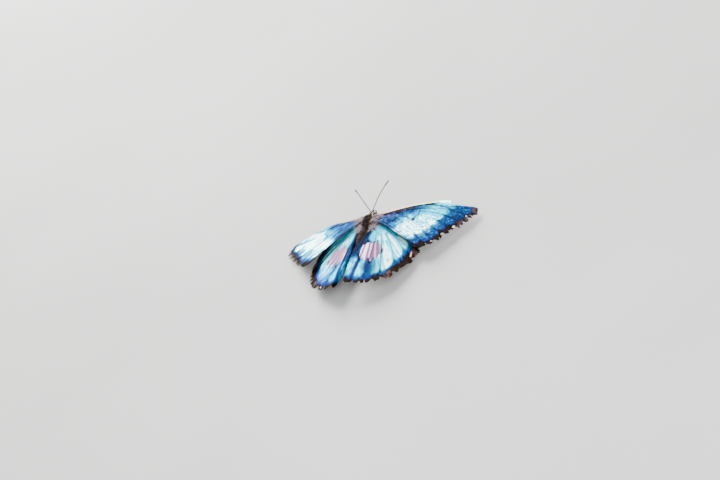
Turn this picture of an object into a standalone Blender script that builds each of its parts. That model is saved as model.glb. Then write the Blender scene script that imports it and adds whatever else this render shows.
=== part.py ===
"""A blue morpho butterfly, life size, standing on its four walking legs with its worn wings spread.

The body lies along Y with the head towards +Y and its back towards +Z, and the feet stand at Z = 0.
Sizes are in millimetres here and become metres when a mesh is made. Each sub-part is one closed solid
in its own object, with a small gap to its neighbours. The wings are drawn flat, as a right wing with
its hinge at the origin, X outwards and Y towards the head, and are then curled, swept and hung.
"""

import math
from dataclasses import dataclass, field

import bpy
import numpy as np
from mathutils import Matrix, Vector
from mathutils.geometry import delaunay_2d_cdt

MM = 0.001

# Body
BODY_HEIGHT = 14.8  # the body's axis above the ground
HEAD_ROUND = 18  # sides of a body section
BODY_STATIONS = {
    # y, half width, half height, height of the centre over the axis
    "head": [
        (3.95, 1.35, 1.45, -0.15),
        (4.6, 1.85, 1.9, -0.05),
        (5.5, 2.05, 2.1, 0.1),
        (6.4, 1.9, 1.95, 0.1),
        (7.1, 1.45, 1.5, 0.0),
        (7.5, 0.8, 0.9, -0.1),
    ],
    "thorax": [
        (-5.6, 2.05, 2.2, -0.2),
        (-4.8, 2.75, 3.0, -0.1),
        (-3.2, 3.25, 3.65, 0.1),
        (-1.0, 3.45, 3.95, 0.2),
        (1.0, 3.3, 3.8, 0.2),
        (2.4, 2.7, 3.1, 0.1),
        (3.2, 2.0, 2.3, 0.0),
        (3.65, 1.45, 1.6, -0.1),
    ],
}
ABDOMEN_START, ABDOMEN_END = -5.9, -21.0
ABDOMEN_RINGS = 8
ABDOMEN_WIDEST = 2.15
RING_DIP = 0.93  # a groove between two abdomen rings, as a share of the radius
WAIST_TURN, TAPER_TURN, FULLNESS = 0.2, 0.72, 0.75  # the part of a sine that the spindle follows
ABDOMEN_DROOP = 0.7  # how far its tip hangs under its waist

# Head
EYE_CENTRE = (1.42, 5.65, 0.3)
EYE_RADII = (1.0, 1.3, 1.4)
EYE_CLEARANCE = 0.22
PALP_PATH = [(1.0, 7.4, -1.7), (1.05, 8.3, -1.4), (1.0, 9.2, -0.5), (0.85, 9.7, 0.7), (0.75, 9.8, 1.5)]
PALP_RADII = [0.36, 0.52, 0.5, 0.4, 0.27]
COIL_CENTRE = (8.4, -2.75)  # y, z of the coiled tongue
COIL_OUTER, COIL_INNER, COIL_TURNS = 1.35, 0.28, 1.6
COIL_START = 100  # degrees round from straight ahead
COIL_THICK = 0.26
ANTENNA_ROOT = (0.55, 6.15, 2.52)
ANTENNA_THICK, CLUB_THICK, CLUB_SHARE = 0.26, 0.42, 0.2
ANTENNA_REACH = {"right": (6.5, 20.5, 6.0), "left": (-17.5, 16.6, 4.4)}
ANTENNA_SAG = 1.2

# Legs: hip, knee and foot points of a right leg, with Z above the ground
LEG_SIDES = 8
FOOT_DROP = 0.22  # the height of a foot's axis, so that its underside is flat
LEGS = {
    "midleg": {
        "points": [(2.0, 0.9, 11.0), (3.4, 1.6, 10.0), (9.0, 4.8, 9.5), (9.9, 5.4, 8.8), (12.0, 7.2, 1.3),
                   (12.5, 7.7, FOOT_DROP), (13.6, 9.4, FOOT_DROP), (14.8, 11.4, FOOT_DROP)],
        "radii": [0.55, 0.62, 0.42, 0.36, 0.3, 0.28, 0.28, 0.27],
    },
    "hindleg": {
        "points": [(1.9, -3.6, 11.1), (3.2, -4.6, 9.9), (8.2, -8.4, 8.9), (8.8, -9.0, 8.2),
                   (10.8, -13.6, 1.3), (11.1, -14.4, FOOT_DROP), (11.8, -16.6, FOOT_DROP),
                   (12.6, -18.8, FOOT_DROP)],
        "radii": [0.55, 0.62, 0.42, 0.36, 0.3, 0.28, 0.28, 0.27],
    },
    # the first pair is small, brush-like and held folded under the thorax
    "foreleg": {
        "points": [(1.35, 2.45, 11.6), (1.75, 3.6, 11.0), (1.95, 5.0, 11.3), (1.75, 6.1, 12.0)],
        "radii": [0.3, 0.36, 0.33, 0.26],
    },
}

# Wings
ROOT_THICK, MARGIN_THICK = 0.8, 0.56
THINNED_BY = 45.0  # how far from its root a wing is down to its margin's thickness
CURL_SPAN, RIPPLE_SPAN = 60.0, 55.0  # distances from the root at which curl and ripple are measured
RIPPLE_ALONG, RIPPLE_ACROSS = 0.42, 0.11  # radians in each millimetre
MARGIN_STEP, EDGE_STEP = 0.9, 2.4  # spacing of outline points on the outer margin and elsewhere
FILL_STEP = 3.9  # spacing of points inside a wing
TUCK_STEP = 1.4  # the same, where a hindwing folds down beside the abdomen
TUCK_RADIUS = 1.3
TUCK_LINE = [(-26.5, 1.7), (-21.0, 4.05), (-7.0, 4.05), (-4.6, 2.9)]  # y and x where the fold starts


@dataclass
class Wing:
    """One wing's flat outline, its wear and how it hangs. Angles are in degrees."""

    outline: list
    margin: tuple  # numbers of the outline points where the outer margin starts and ends
    teeth: int  # scallops along the outer margin
    tooth_depth: float
    hinge: tuple
    raised: float  # dihedral: the wing's slope outwards
    swept: float  # turned back about its hinge
    curl: float  # droop of the span, as a share of the distance outwards at 60 mm
    pitch: float  # leading edge up
    ripple: float
    tucked: bool = False  # folded down beside the abdomen
    notches: list = field(default_factory=list)  # (share of the outer margin, depth, half width)


RIGHT_COSTA = [
    (0.0, 0.8), (4.0, 3.6), (10.0, 8.1), (18.0, 13.9), (27.0, 19.6), (35.0, 24.2), (40.8, 26.9),
    (41.7, 26.5), (42.5, 24.8), (46.0, 25.4), (50.5, 27.0), (55.5, 28.4), (59.3, 28.7), (61.9, 26.2),
    (62.2, 22.2),
]
LEFT_COSTA = [
    (0.0, 0.6), (4.0, 2.7), (10.0, 6.8), (18.0, 12.6), (27.0, 18.3), (32.0, 20.6), (36.5, 21.3),
    (42.0, 22.2), (47.0, 24.0), (51.5, 26.6), (56.5, 27.8), (60.2, 26.0), (61.2, 21.6),
]
APEX_TO_ROOT = [
    (60.4, 15.5), (57.8, 8.6), (55.2, 1.8), (52.6, -4.6), (49.8, -9.8), (46.4, -12.4), (41.0, -12.2),
    (32.0, -10.0), (20.0, -7.0), (10.0, -4.4), (3.0, -2.6), (0.0, -1.5),
]
HINDWING_OUTLINE = [
    (0.0, 1.0), (5.0, 5.0), (12.0, 7.8), (20.0, 8.5), (27.5, 7.2), (34.0, 4.2), (37.8, -0.4), (40.2, -6.8),
    (41.0, -13.2), (40.6, -20.0), (39.4, -27.0), (37.2, -33.4), (34.2, -39.4), (29.4, -44.4), (23.2, -48.4),
    (17.0, -50.9), (12.0, -51.6), (9.2, -48.6), (7.0, -42.0), (4.4, -34.0), (1.8, -25.0), (0.4, -18.0),
    (-0.2, -12.0), (0.2, -6.0), (0.0, -1.2),
]

WINGS = {
    "forewing_right": Wing(
        RIGHT_COSTA + APEX_TO_ROOT, (12, 20), 7, 0.45, (3.95, 2.0, 1.6), -2.6, 15.5, 0.128, 1.9, 0.45,
        notches=[(0.06, 1.0, 1.0), (0.15, 1.9, 1.2), (0.235, 1.7, 1.3), (0.33, 2.3, 1.0), (0.39, 1.6, 0.9),
                 (0.46, 2.9, 1.2), (0.53, 1.7, 1.3), (0.66, 1.5, 1.0), (0.78, 2.0, 1.5), (0.9, 1.1, 1.0)],
    ),
    "forewing_left": Wing(
        LEFT_COSTA + APEX_TO_ROOT, (10, 18), 7, 0.45, (4.2, 2.0, 1.6), -9.5, 31.6, 0.062, -1.7, 0.45,
        notches=[(0.3, 3.4, 0.9), (0.345, 4.4, 0.8), (0.4, 3.6, 0.8), (0.475, 5.2, 2.1), (0.56, 2.9, 1.2),
                 (0.66, 3.2, 0.9), (0.72, 2.6, 0.9), (0.8, 3.3, 1.1), (0.89, 1.8, 1.2), (0.16, 1.5, 1.6)],
    ),
    "hindwing_right": Wing(
        HINDWING_OUTLINE, (5, 16), 8, 1.1, (3.75, -3.0, -0.1), -13.1, 6.9, 0.128, -4.0, -0.4, True,
        notches=[(0.06, 2.2, 3.0), (0.2, 2.4, 1.6), (0.34, 2.2, 1.2), (0.47, 1.5, 1.4), (0.56, 2.6, 1.5),
                 (0.68, 2.2, 2.2), (0.77, 3.0, 1.6), (0.88, 2.4, 1.2), (0.94, 2.8, 1.0)],
    ),
    "hindwing_left": Wing(
        HINDWING_OUTLINE, (5, 16), 8, 1.1, (3.75, -3.0, -0.1), -15.0, 18.5, 0.085, 0.6, -0.4, True,
        notches=[(0.05, 2.0, 3.0), (0.18, 2.6, 1.0), (0.27, 2.2, 0.9), (0.42, 2.4, 1.5), (0.5, 3.4, 1.1),
                 (0.62, 2.6, 1.3), (0.74, 3.4, 2.4), (0.84, 3.0, 1.6), (0.95, 2.2, 1.4)],
    ),
}

COLOURS = {
    # name: sRGB-like base colour, roughness, metallic
    "wing_scales": ((0.02, 0.22, 0.72), 0.35, 0.5),
    "body_fur": ((0.06, 0.045, 0.035), 0.85, 0.0),
    "eye": ((0.035, 0.02, 0.015), 0.2, 0.0),
    "chitin": ((0.03, 0.022, 0.018), 0.45, 0.0),
}


def material(name):
    """The finish of a sub-part, made once."""
    found = bpy.data.materials.get(name)
    if found:
        return found
    colour, roughness, metallic = COLOURS[name]
    made = bpy.data.materials.new(name)
    made.use_nodes = True
    shader = made.node_tree.nodes["Principled BSDF"]
    shader.inputs["Base Color"].default_value = (*colour, 1.0)
    shader.inputs["Roughness"].default_value = roughness
    shader.inputs["Metallic"].default_value = metallic
    return made


def add_object(name, points, faces, finish, smooth=True):
    """A mesh object from points in millimetres."""
    mesh = bpy.data.meshes.new(name)
    mesh.from_pydata([Vector(p) * MM for p in points], [], faces)
    mesh.validate()
    if smooth:
        mesh.shade_smooth()
        mesh.set_sharp_from_angle(angle=math.radians(40))
    mesh.materials.append(material(finish))
    obj = bpy.data.objects.new(name, mesh)
    bpy.context.scene.collection.objects.link(obj)
    return obj


def smooth_through(keys, per_key):
    """Points of a curve through the keys, per_key of them after each key (Catmull-Rom, ends doubled)."""
    keys = [Vector(k) for k in keys]
    keys = [keys[0] * 2 - keys[1], *keys, keys[-1] * 2 - keys[-2]]
    found = []
    for before, start, end, after in zip(keys, keys[1:], keys[2:], keys[3:]):
        for i in range(per_key):
            t = i / per_key
            found.append(
                0.5 * (2 * start + (end - before) * t + (2 * before - 5 * start + 4 * end - after) * t**2
                       + (3 * start - before - 3 * end + after) * t**3)
            )
    return [*found, keys[-2]]


def loft(rings):
    """Faces of closed rings of points, joined one to the next and capped at both ends."""
    sides = len(rings[0])
    faces = [list(range(sides))[::-1]]
    for r in range(len(rings) - 1):
        for i in range(sides):
            j = (i + 1) % sides
            low, high = r * sides, (r + 1) * sides
            faces.append([low + i, low + j, high + j, high + i])
    last = (len(rings) - 1) * sides
    faces.append([last + i for i in range(sides)])
    return [p for ring in rings for p in ring], faces


def tube(path, radii, sides, ground=None):
    """A tube along a path, its rings kept from twisting. Points under the ground are raised to it."""
    path = [Vector(p) for p in path]
    rings, side = [], Vector((0.0, 0.0, 1.0))
    for i, centre in enumerate(path):
        along = (path[min(i + 1, len(path) - 1)] - path[max(i - 1, 0)]).normalized()
        side = (side - along * side.dot(along)).normalized()
        other = along.cross(side)
        ring = []
        for k in range(sides):
            turn = 2 * math.pi * (k + 0.5) / sides
            point = centre + (side * math.cos(turn) + other * math.sin(turn)) * radii[i]
            if ground is not None:
                point.z = max(point.z, ground)
            ring.append(point)
        rings.append(ring)
    return loft(rings)


def mirrored(points, faces):
    """The same solid on the butterfly's left, with its faces turned to point outwards again."""
    return [Vector((-p[0], p[1], p[2])) for p in points], [list(reversed(f)) for f in faces]


def section(y, half_width, half_height, centre):
    """One ring round the body's axis."""
    turns = [2 * math.pi * k / HEAD_ROUND for k in range(HEAD_ROUND)]
    return [
        Vector((half_width * math.sin(t), y, BODY_HEIGHT + centre + half_height * math.cos(t))) for t in turns
    ]


def make_trunk(name):
    """The head or the thorax, a loft through its stations."""
    stations = smooth_through([(y, w, h) for y, w, h, _ in BODY_STATIONS[name]], 2)
    centres = smooth_through([(y, z, 0.0) for y, _, _, z in BODY_STATIONS[name]], 2)
    rings = [section(s[0], s[1], s[2], c[1]) for s, c in zip(stations, centres)]
    points, faces = loft(rings)
    return add_object(name, points, faces, "body_fur")


def make_abdomen():
    """The abdomen: a spindle of rings that narrows to its tip and to its waist."""
    length = ABDOMEN_START - ABDOMEN_END
    rings = []
    for i in range(2 * ABDOMEN_RINGS + 1):
        share = i / (2 * ABDOMEN_RINGS)
        round_share = math.sin(math.pi * (WAIST_TURN + TAPER_TURN * share)) ** FULLNESS
        radius = ABDOMEN_WIDEST * round_share * (RING_DIP if i % 2 == 0 else 1.0)
        droop = -0.3 - ABDOMEN_DROOP * share**2
        rings.append(section(ABDOMEN_START - length * share, radius * 0.96, radius, droop))
    rings.append(section(ABDOMEN_END - 0.35, ABDOMEN_WIDEST * 0.16, ABDOMEN_WIDEST * 0.16, -1.0))
    points, faces = loft(rings[::-1])
    return add_object("abdomen", points, faces, "body_fur")


def ellipsoid(name, centre, radii, finish):
    """A closed ellipsoid with its poles along X."""
    around, across = 16, 9
    points, faces = [], []
    for r in range(1, across):
        polar = math.pi * r / across
        for k in range(around):
            turn = 2 * math.pi * k / around
            points.append((
                centre[0] + radii[0] * math.cos(polar),
                centre[1] + radii[1] * math.sin(polar) * math.cos(turn),
                centre[2] + radii[2] * math.sin(polar) * math.sin(turn),
            ))
    outer, inner = len(points), len(points) + 1
    points += [(centre[0] + radii[0], *centre[1:]), (centre[0] - radii[0], *centre[1:])]
    for k in range(around):
        j = (k + 1) % around
        faces.append([outer, k, j])
        for r in range(across - 2):
            faces.append([r * around + k, (r + 1) * around + k, (r + 1) * around + j, r * around + j])
        last = (across - 2) * around
        faces.append([inner, last + j, last + k])
    return add_object(name, points, faces, finish)


def make_head_with_eyes():
    """The head, hollowed a little on each side, with an eye in each hollow."""
    head = make_trunk("head")
    for side, sign in (("right", 1), ("left", -1)):
        centre = (sign * EYE_CENTRE[0], EYE_CENTRE[1], BODY_HEIGHT + EYE_CENTRE[2])
        ellipsoid(f"eye_{side}", centre, EYE_RADII, "eye")
        hollow = ellipsoid(f"hollow_{side}", centre, [r + EYE_CLEARANCE for r in EYE_RADII], "eye")
        hollow.hide_render = True
        hollow.display_type = "WIRE"
        cut = head.modifiers.new(f"hollow_{side}", "BOOLEAN")
        cut.operation = "DIFFERENCE"
        cut.solver = "EXACT"
        cut.object = hollow


def make_palps():
    """The two furry palps that curve up before the face."""
    path = smooth_through([(x, y, BODY_HEIGHT + z) for x, y, z in PALP_PATH], 3)
    radii = [r.x for r in smooth_through([(r, 0.0, 0.0) for r in PALP_RADII], 3)]
    points, faces = tube(path, radii, 10)
    add_object("palp_right", points, faces, "body_fur")
    add_object("palp_left", *mirrored(points, faces), "body_fur")


def make_proboscis():
    """The tongue, coiled flat between the palps."""
    steps = 30
    path = []
    for i in range(steps + 1):
        share = i / steps
        reach = COIL_OUTER + (COIL_INNER - COIL_OUTER) * share
        turn = math.radians(COIL_START) - 2 * math.pi * COIL_TURNS * share
        forward, up = reach * math.cos(turn), reach * math.sin(turn)
        path.append((0.0, COIL_CENTRE[0] + forward, BODY_HEIGHT + COIL_CENTRE[1] + up))
    points, faces = tube(path, [COIL_THICK] * len(path), 6)
    add_object("proboscis", points, faces, "chitin")


def make_antenna(side):
    """A thin feeler that ends in a slim club."""
    sign = 1 if side == "right" else -1
    root = Vector((sign * ANTENNA_ROOT[0], ANTENNA_ROOT[1], BODY_HEIGHT + ANTENNA_ROOT[2]))
    reach = Vector(ANTENNA_REACH[side])
    steps = 16
    path, radii = [], []
    for i in range(steps + 1):
        share = i / steps
        sag = ANTENNA_SAG * math.sin(math.pi * share)
        path.append(root + reach * share + Vector((0.0, 0.0, sag)))
        club = max(0.0, (share - 1 + CLUB_SHARE) / CLUB_SHARE)
        radii.append(ANTENNA_THICK + (CLUB_THICK - ANTENNA_THICK) * math.sin(math.pi * min(1.0, club * 0.85)))
    points, faces = tube(path, radii, 8)
    add_object(f"antenna_{side}", points, faces, "chitin")


def make_legs():
    """Two small forelegs and four walking legs, whose feet are flat underneath."""
    for name, leg in LEGS.items():
        path = smooth_through(leg["points"], 2)
        radii = [r.x for r in smooth_through([(r, 0.0, 0.0) for r in leg["radii"]], 2)]
        points, faces = tube(path, radii, LEG_SIDES, ground=0.0)
        add_object(f"{name}_right", points, faces, "chitin")
        add_object(f"{name}_left", *mirrored(points, faces), "chitin")


def worn_outline(wing):
    """The wing's flat outline: smooth in front and inside, scalloped and torn at its outer margin."""
    per_key = 12
    curve = np.array([p[:] for p in smooth_through([(x, y, 0.0) for x, y in wing.outline], per_key)])[:, :2]
    length = np.concatenate([[0.0], np.cumsum(np.linalg.norm(np.diff(curve, axis=0), axis=1))])
    start, end = (length[key * per_key] for key in wing.margin)
    places = np.concatenate([
        np.arange(0.0, start, EDGE_STEP),
        np.arange(start, end, MARGIN_STEP),
        np.arange(end, length[-1], EDGE_STEP),
        length[-1:],
    ])
    points = np.stack([np.interp(places, length, curve[:, k]) for k in range(2)], axis=1)
    ahead = np.stack([np.interp(places + 0.2, length, curve[:, k]) for k in range(2)], axis=1)
    behind = np.stack([np.interp(places - 0.2, length, curve[:, k]) for k in range(2)], axis=1)
    along = (ahead - behind) / np.linalg.norm(ahead - behind, axis=1)[:, None]
    inwards = np.stack([along[:, 1], -along[:, 0]], axis=1)
    share = np.clip((places - start) / (end - start), 0.0, 1.0)
    depth = wing.tooth_depth * np.abs(np.sin(math.pi * wing.teeth * share))
    for where, deep, half_width in wing.notches:
        away = np.abs(share - where) * (end - start) / half_width
        depth = np.maximum(depth, deep * np.clip(1.25 - away, 0.0, 1.0) ** 0.8)
    depth[(share <= 0.0) | (share >= 1.0)] = 0.0
    points += inwards * depth[:, None]
    keep = np.concatenate([[True], np.linalg.norm(np.diff(points, axis=0), axis=1) > 0.25])
    return points[keep]


def inside(outline, places):
    """Which places lie within the outline, by counting the edges to their right."""
    a, b = outline, np.roll(outline, -1, axis=0)
    x, y = places[:, 0:1], places[:, 1:2]
    crosses = (a[:, 1] > y) != (b[:, 1] > y)
    with np.errstate(divide="ignore", invalid="ignore"):
        at = a[:, 0] + (y - a[:, 1]) * (b[:, 0] - a[:, 0]) / (b[:, 1] - a[:, 1])
    return (crosses & (x < at)).sum(axis=1) % 2 == 1


def clear_of(outline, places, gap):
    """Which places are further than the gap from each edge of the outline."""
    a, b = outline, np.roll(outline, -1, axis=0)
    edge = b - a
    share = ((places[:, None] - a) * edge).sum(axis=2) / (edge**2).sum(axis=1)
    nearest = a + np.clip(share, 0.0, 1.0)[..., None] * edge
    return np.linalg.norm(places[:, None] - nearest, axis=2).min(axis=1) > gap


def filling(outline, step):
    """Points in a triangular grid within an outline, clear of its edges."""
    low, high = outline.min(axis=0), outline.max(axis=0)
    grid = np.array([
        (x, y)
        for r, y in enumerate(np.arange(low[1], high[1], step * 0.87))
        for x in np.arange(low[0] + (r % 2) * step / 2, high[0], step)
    ])
    grid = grid[inside(outline, grid)]
    return grid[clear_of(outline, grid, step * 0.45)]


def hang(wing, flat):
    """Places of a flat right wing on the butterfly, and which way is up on its surface there."""
    x, y = flat[:, 0], flat[:, 1]
    swept, raised, pitch = (math.radians(a) for a in (wing.swept, wing.raised, wing.pitch))
    across = x * math.cos(swept) + y * math.sin(swept)
    forward = -x * math.sin(swept) + y * math.cos(swept)
    waves = wing.ripple * np.sin(RIPPLE_ALONG * y + RIPPLE_ACROSS * x)
    height = waves * np.clip(np.hypot(x, y) / RIPPLE_SPAN, 0, 1) ** 2 - wing.curl * across**2 / CURL_SPAN
    out = [across, forward * math.cos(pitch) - height * math.sin(pitch),
           forward * math.sin(pitch) + height * math.cos(pitch)]
    out = np.stack([out[0] * math.cos(raised) - out[2] * math.sin(raised), out[1],
                    out[0] * math.sin(raised) + out[2] * math.cos(raised)], axis=1)
    out += np.array(wing.hinge) + np.array([0.0, 0.0, BODY_HEIGHT])
    fold = np.zeros(len(out))
    if wing.tucked:
        line = np.interp(out[:, 1], *zip(*TUCK_LINE))
        beyond = np.clip(line - out[:, 0], 0.0, None)
        fold = np.minimum(beyond / TUCK_RADIUS, math.pi / 2)
        straight = beyond - TUCK_RADIUS * fold
        out[:, 0] = np.maximum(out[:, 0], line) - TUCK_RADIUS * np.sin(fold)
        out[:, 2] -= TUCK_RADIUS * (1 - np.cos(fold)) + straight
    return out, np.stack([-np.sin(fold), np.zeros(len(out)), np.cos(fold)], axis=1)


def make_wing(name, wing):
    """A wing as a thin closed solid, thickest at its root."""
    outline = worn_outline(wing)
    grid = filling(outline, FILL_STEP)
    if wing.tucked:
        placed = hang(wing, grid)[0]
        fine = filling(outline, TUCK_STEP)
        fine_placed = hang(wing, fine)[0]
        near = [p[:, 0] < np.interp(p[:, 1], *zip(*TUCK_LINE)) + 0.6 for p in (placed, fine_placed)]
        grid = np.concatenate([grid[~near[0]], fine[near[1]]])
    flat = [Vector(p) for p in np.concatenate([outline, grid])]
    count = len(outline)
    loop = [(i, (i + 1) % count) for i in range(count)]
    verts, _, faces, *_ = delaunay_2d_cdt(flat, loop, [list(range(count))], 1, 1e-6)
    if len(verts) != len(flat):
        raise ValueError(f"{name}: the outline crosses itself")
    flat = np.array([v[:] for v in verts])
    share = np.clip(np.hypot(flat[:, 0], flat[:, 1]) / THINNED_BY, 0.0, 1.0)
    half = 0.5 * (ROOT_THICK + (MARGIN_THICK - ROOT_THICK) * share)
    middle, up = hang(wing, flat)
    points = np.concatenate([middle + up * half[:, None], middle - up * half[:, None]])
    faces = [list(f) for f in faces]
    a, b, c = (flat[[f[k] for f in faces]] for k in range(3))
    turn = (b - a)[:, 0] * (c - a)[:, 1] - (b - a)[:, 1] * (c - a)[:, 0]
    upper = [f if t > 0 else f[::-1] for f, t in zip(faces, turn)]
    rim = {(f[k], f[(k + 1) % 3]) for f in upper for k in range(3)}
    rim = [(i, j) for i, j in rim if (j, i) not in rim]
    n = len(flat)
    solid = upper + [[i + n for i in reversed(f)] for f in upper]
    solid += [[i, i + n, j + n, j] for i, j in sorted(rim)]
    points = [Vector(p) for p in points]
    if name.endswith("left"):
        points, solid = mirrored(points, solid)
    add_object(name, points, solid, "wing_scales")


def centre_over_origin():
    """Slides the whole butterfly so that the middle of its footprint is over the origin."""
    shown = [obj for obj in bpy.data.objects if not obj.hide_render]
    places = np.array([vertex.co[:2] for obj in shown for vertex in obj.data.vertices])
    middle = (places.min(axis=0) + places.max(axis=0)) / 2
    for obj in bpy.data.objects:
        obj.data.transform(Matrix.Translation((-middle[0], -middle[1], 0.0)))


def main():
    """Clears the scene and builds every sub-part."""
    for obj in list(bpy.data.objects):
        bpy.data.objects.remove(obj, do_unlink=True)
    make_head_with_eyes()
    make_trunk("thorax")
    make_abdomen()
    make_palps()
    make_proboscis()
    make_antenna("right")
    make_antenna("left")
    make_legs()
    for name, wing in WINGS.items():
        make_wing(name, wing)
    centre_over_origin()


main()
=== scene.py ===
"""Looks of a life-size blue morpho butterfly that stands with its worn wings spread.

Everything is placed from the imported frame. Lengths are in millimetres until a mesh is made. A wing is
planned flat, as a right wing with its hinge at the origin, X outwards and Y towards the head, and is
then curled, swept and hung on the body in the same way as its solid.
"""

from __future__ import annotations

import logging
import math
from dataclasses import dataclass, field
from enum import Enum

import bpy
import numpy as np
from mathutils import Matrix, Vector
from mathutils.geometry import delaunay_2d_cdt

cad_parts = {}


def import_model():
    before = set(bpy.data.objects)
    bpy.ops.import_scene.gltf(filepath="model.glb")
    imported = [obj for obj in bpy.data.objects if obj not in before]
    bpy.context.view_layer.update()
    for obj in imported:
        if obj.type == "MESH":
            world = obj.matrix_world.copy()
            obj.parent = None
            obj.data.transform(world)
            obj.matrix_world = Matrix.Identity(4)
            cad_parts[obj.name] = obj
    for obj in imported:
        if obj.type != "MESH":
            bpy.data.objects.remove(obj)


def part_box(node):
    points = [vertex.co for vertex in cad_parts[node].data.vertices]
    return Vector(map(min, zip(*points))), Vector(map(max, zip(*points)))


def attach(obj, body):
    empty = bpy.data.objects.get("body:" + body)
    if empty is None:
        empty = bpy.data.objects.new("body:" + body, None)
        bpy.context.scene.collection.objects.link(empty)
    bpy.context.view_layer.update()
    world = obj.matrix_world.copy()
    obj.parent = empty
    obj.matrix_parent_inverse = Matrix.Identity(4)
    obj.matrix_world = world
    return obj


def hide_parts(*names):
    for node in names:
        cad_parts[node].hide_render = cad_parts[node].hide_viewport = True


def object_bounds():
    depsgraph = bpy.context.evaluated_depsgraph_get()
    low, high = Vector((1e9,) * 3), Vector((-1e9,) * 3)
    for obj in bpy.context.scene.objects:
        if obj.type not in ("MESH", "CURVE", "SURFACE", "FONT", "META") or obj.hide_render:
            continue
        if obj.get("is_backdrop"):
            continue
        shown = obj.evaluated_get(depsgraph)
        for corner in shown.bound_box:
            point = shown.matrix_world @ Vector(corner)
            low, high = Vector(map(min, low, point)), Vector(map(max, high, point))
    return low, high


LOG = logging.getLogger("morpho")
MM = 0.001
BODY_HEIGHT = 14.8  # the body's axis above the floor
THORAX_FRONT = 3.65  # the thorax's front end on the body's own Y axis
SOLID_BOX: list = []  # the corners of the frame's solids, kept by main
BOX_MARGIN = 0.02  # how far inside the solids' box every piece stays
BAKE_PATCH = 0.003  # how much of its bake map one scale or hair takes
BLOCK = 4000  # how many places are measured at a time, to save memory


class Side(Enum):
    """A side of the butterfly; the value is the sign of X."""

    RIGHT = 1
    LEFT = -1

    @property
    def word(self) -> str:
        """The side's name as the frame's nodes spell it."""
        return self.name.lower()


class Face(Enum):
    """A face of a wing; the value is the sign of its normal."""

    UPPER = 1
    LOWER = -1


class Slot(Enum):
    """The record's material slots."""

    WING = "wing_scales"
    BODY = "body_fur"
    EYE = "eye"
    CHITIN = "chitin"


# ---- Small helpers ----


def linear(code: str) -> np.ndarray:
    """Turns an sRGB hex colour, such as "#0a62c4", to linear red, green and blue."""
    parts = np.array([int(code[i : i + 2], 16) / 255.0 for i in (1, 3, 5)])
    return np.where(parts <= 0.04045, parts / 12.92, ((parts + 0.055) / 1.055) ** 2.4)


def ease(low: float | np.ndarray, high: float | np.ndarray, value: np.ndarray) -> np.ndarray:
    """Rises smoothly from 0 at low to 1 at high, or falls if high is under low."""
    share = np.clip((value - low) / (high - low), 0.0, 1.0)
    return share * share * (3.0 - 2.0 * share)


def mix(under: np.ndarray, over: np.ndarray | str, share: np.ndarray) -> np.ndarray:
    """Lays a hex colour, or a colour for each row, over other colours, as much as each row's share says."""
    top = linear(over) if isinstance(over, str) else over
    return under + (top - under) * np.clip(share, 0.0, 1.0)[:, None]


class Paint:
    """Colours of many places. Each new colour is laid over what is there."""

    def __init__(self, ground: str, count: int) -> None:
        """Starts with one hex colour everywhere."""
        self.rows = np.tile(linear(ground), (count, 1))

    def lay(self, over: np.ndarray | str, share: np.ndarray) -> None:
        """Lays a hex colour, or a colour for each place, over the others."""
        self.rows = mix(self.rows, over, share)


def noise(u: np.ndarray, v: np.ndarray, seed: int) -> np.ndarray:
    """Smooth random values over a plane, with features about one unit across.

    Args:
        u: first coordinates.
        v: second coordinates.
        seed: which pattern.

    Returns:
        Values from 0 to 1.
    """
    low_u, low_v = np.floor(u).astype(np.int64), np.floor(v).astype(np.int64)
    part_u, part_v = u - low_u, v - low_v
    part_u, part_v = part_u**2 * (3 - 2 * part_u), part_v**2 * (3 - 2 * part_v)

    def corner(a: np.ndarray, b: np.ndarray) -> np.ndarray:
        """The value at a lattice corner.

        Args:
            a: the corner's whole first coordinates.
            b: its whole second coordinates.

        Returns:
            Values from 0 to 1, scattered by multiplying with large odd numbers.
        """
        mixed = (a * 374761393 + b * 668265263 + seed * 1442695041) & 0xFFFFFFFF
        mixed = ((mixed ^ (mixed >> 13)) * 1274126177) & 0xFFFFFFFF
        return ((mixed ^ (mixed >> 16)) & 0xFFFF) / 65535.0

    near = corner(low_u, low_v) * (1 - part_u) + corner(low_u + 1, low_v) * part_u
    far = corner(low_u, low_v + 1) * (1 - part_u) + corner(low_u + 1, low_v + 1) * part_u
    return near * (1 - part_v) + far * part_v


def smooth_through(keys: list | np.ndarray, per_key: int) -> np.ndarray:
    """A Catmull-Rom curve through points or other rows of numbers.

    Args:
        keys: the rows to pass through.
        per_key: how many rows to make for each key.

    Returns:
        The rows of the curve, the last key included.
    """
    keys = np.array(keys, dtype=float)
    if keys.ndim == 1:
        keys = keys[:, None]
    keys = np.concatenate([[keys[0] * 2 - keys[1]], keys, [keys[-1] * 2 - keys[-2]]])
    share = (np.arange(per_key) / per_key)[:, None]
    rows = []
    for before, start, end, after in zip(keys, keys[1:], keys[2:], keys[3:]):
        rows.append(
            0.5 * (2 * start + (end - before) * share + (2 * before - 5 * start + 4 * end - after) * share**2
                   + (3 * start - before - 3 * end + after) * share**3)
        )
    return np.concatenate([*rows, keys[-2:-1]])


def distance_to(line: np.ndarray, places: np.ndarray) -> np.ndarray:
    """How far flat places are from a line.

    Args:
        line: the line's points in order.
        places: flat places, one a row.

    Returns:
        A distance for each place.
    """
    edge = line[1:] - line[:-1]
    found = []
    for start in range(0, len(places), BLOCK):
        block = places[start : start + BLOCK, None]
        share = ((block - line[:-1]) * edge).sum(axis=2) / np.maximum((edge**2).sum(axis=1), 1e-12)
        nearest = line[:-1] + np.clip(share, 0.0, 1.0)[..., None] * edge
        found.append(np.linalg.norm(block - nearest, axis=2).min(axis=1))
    return np.concatenate(found) if found else np.zeros(0)


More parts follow.
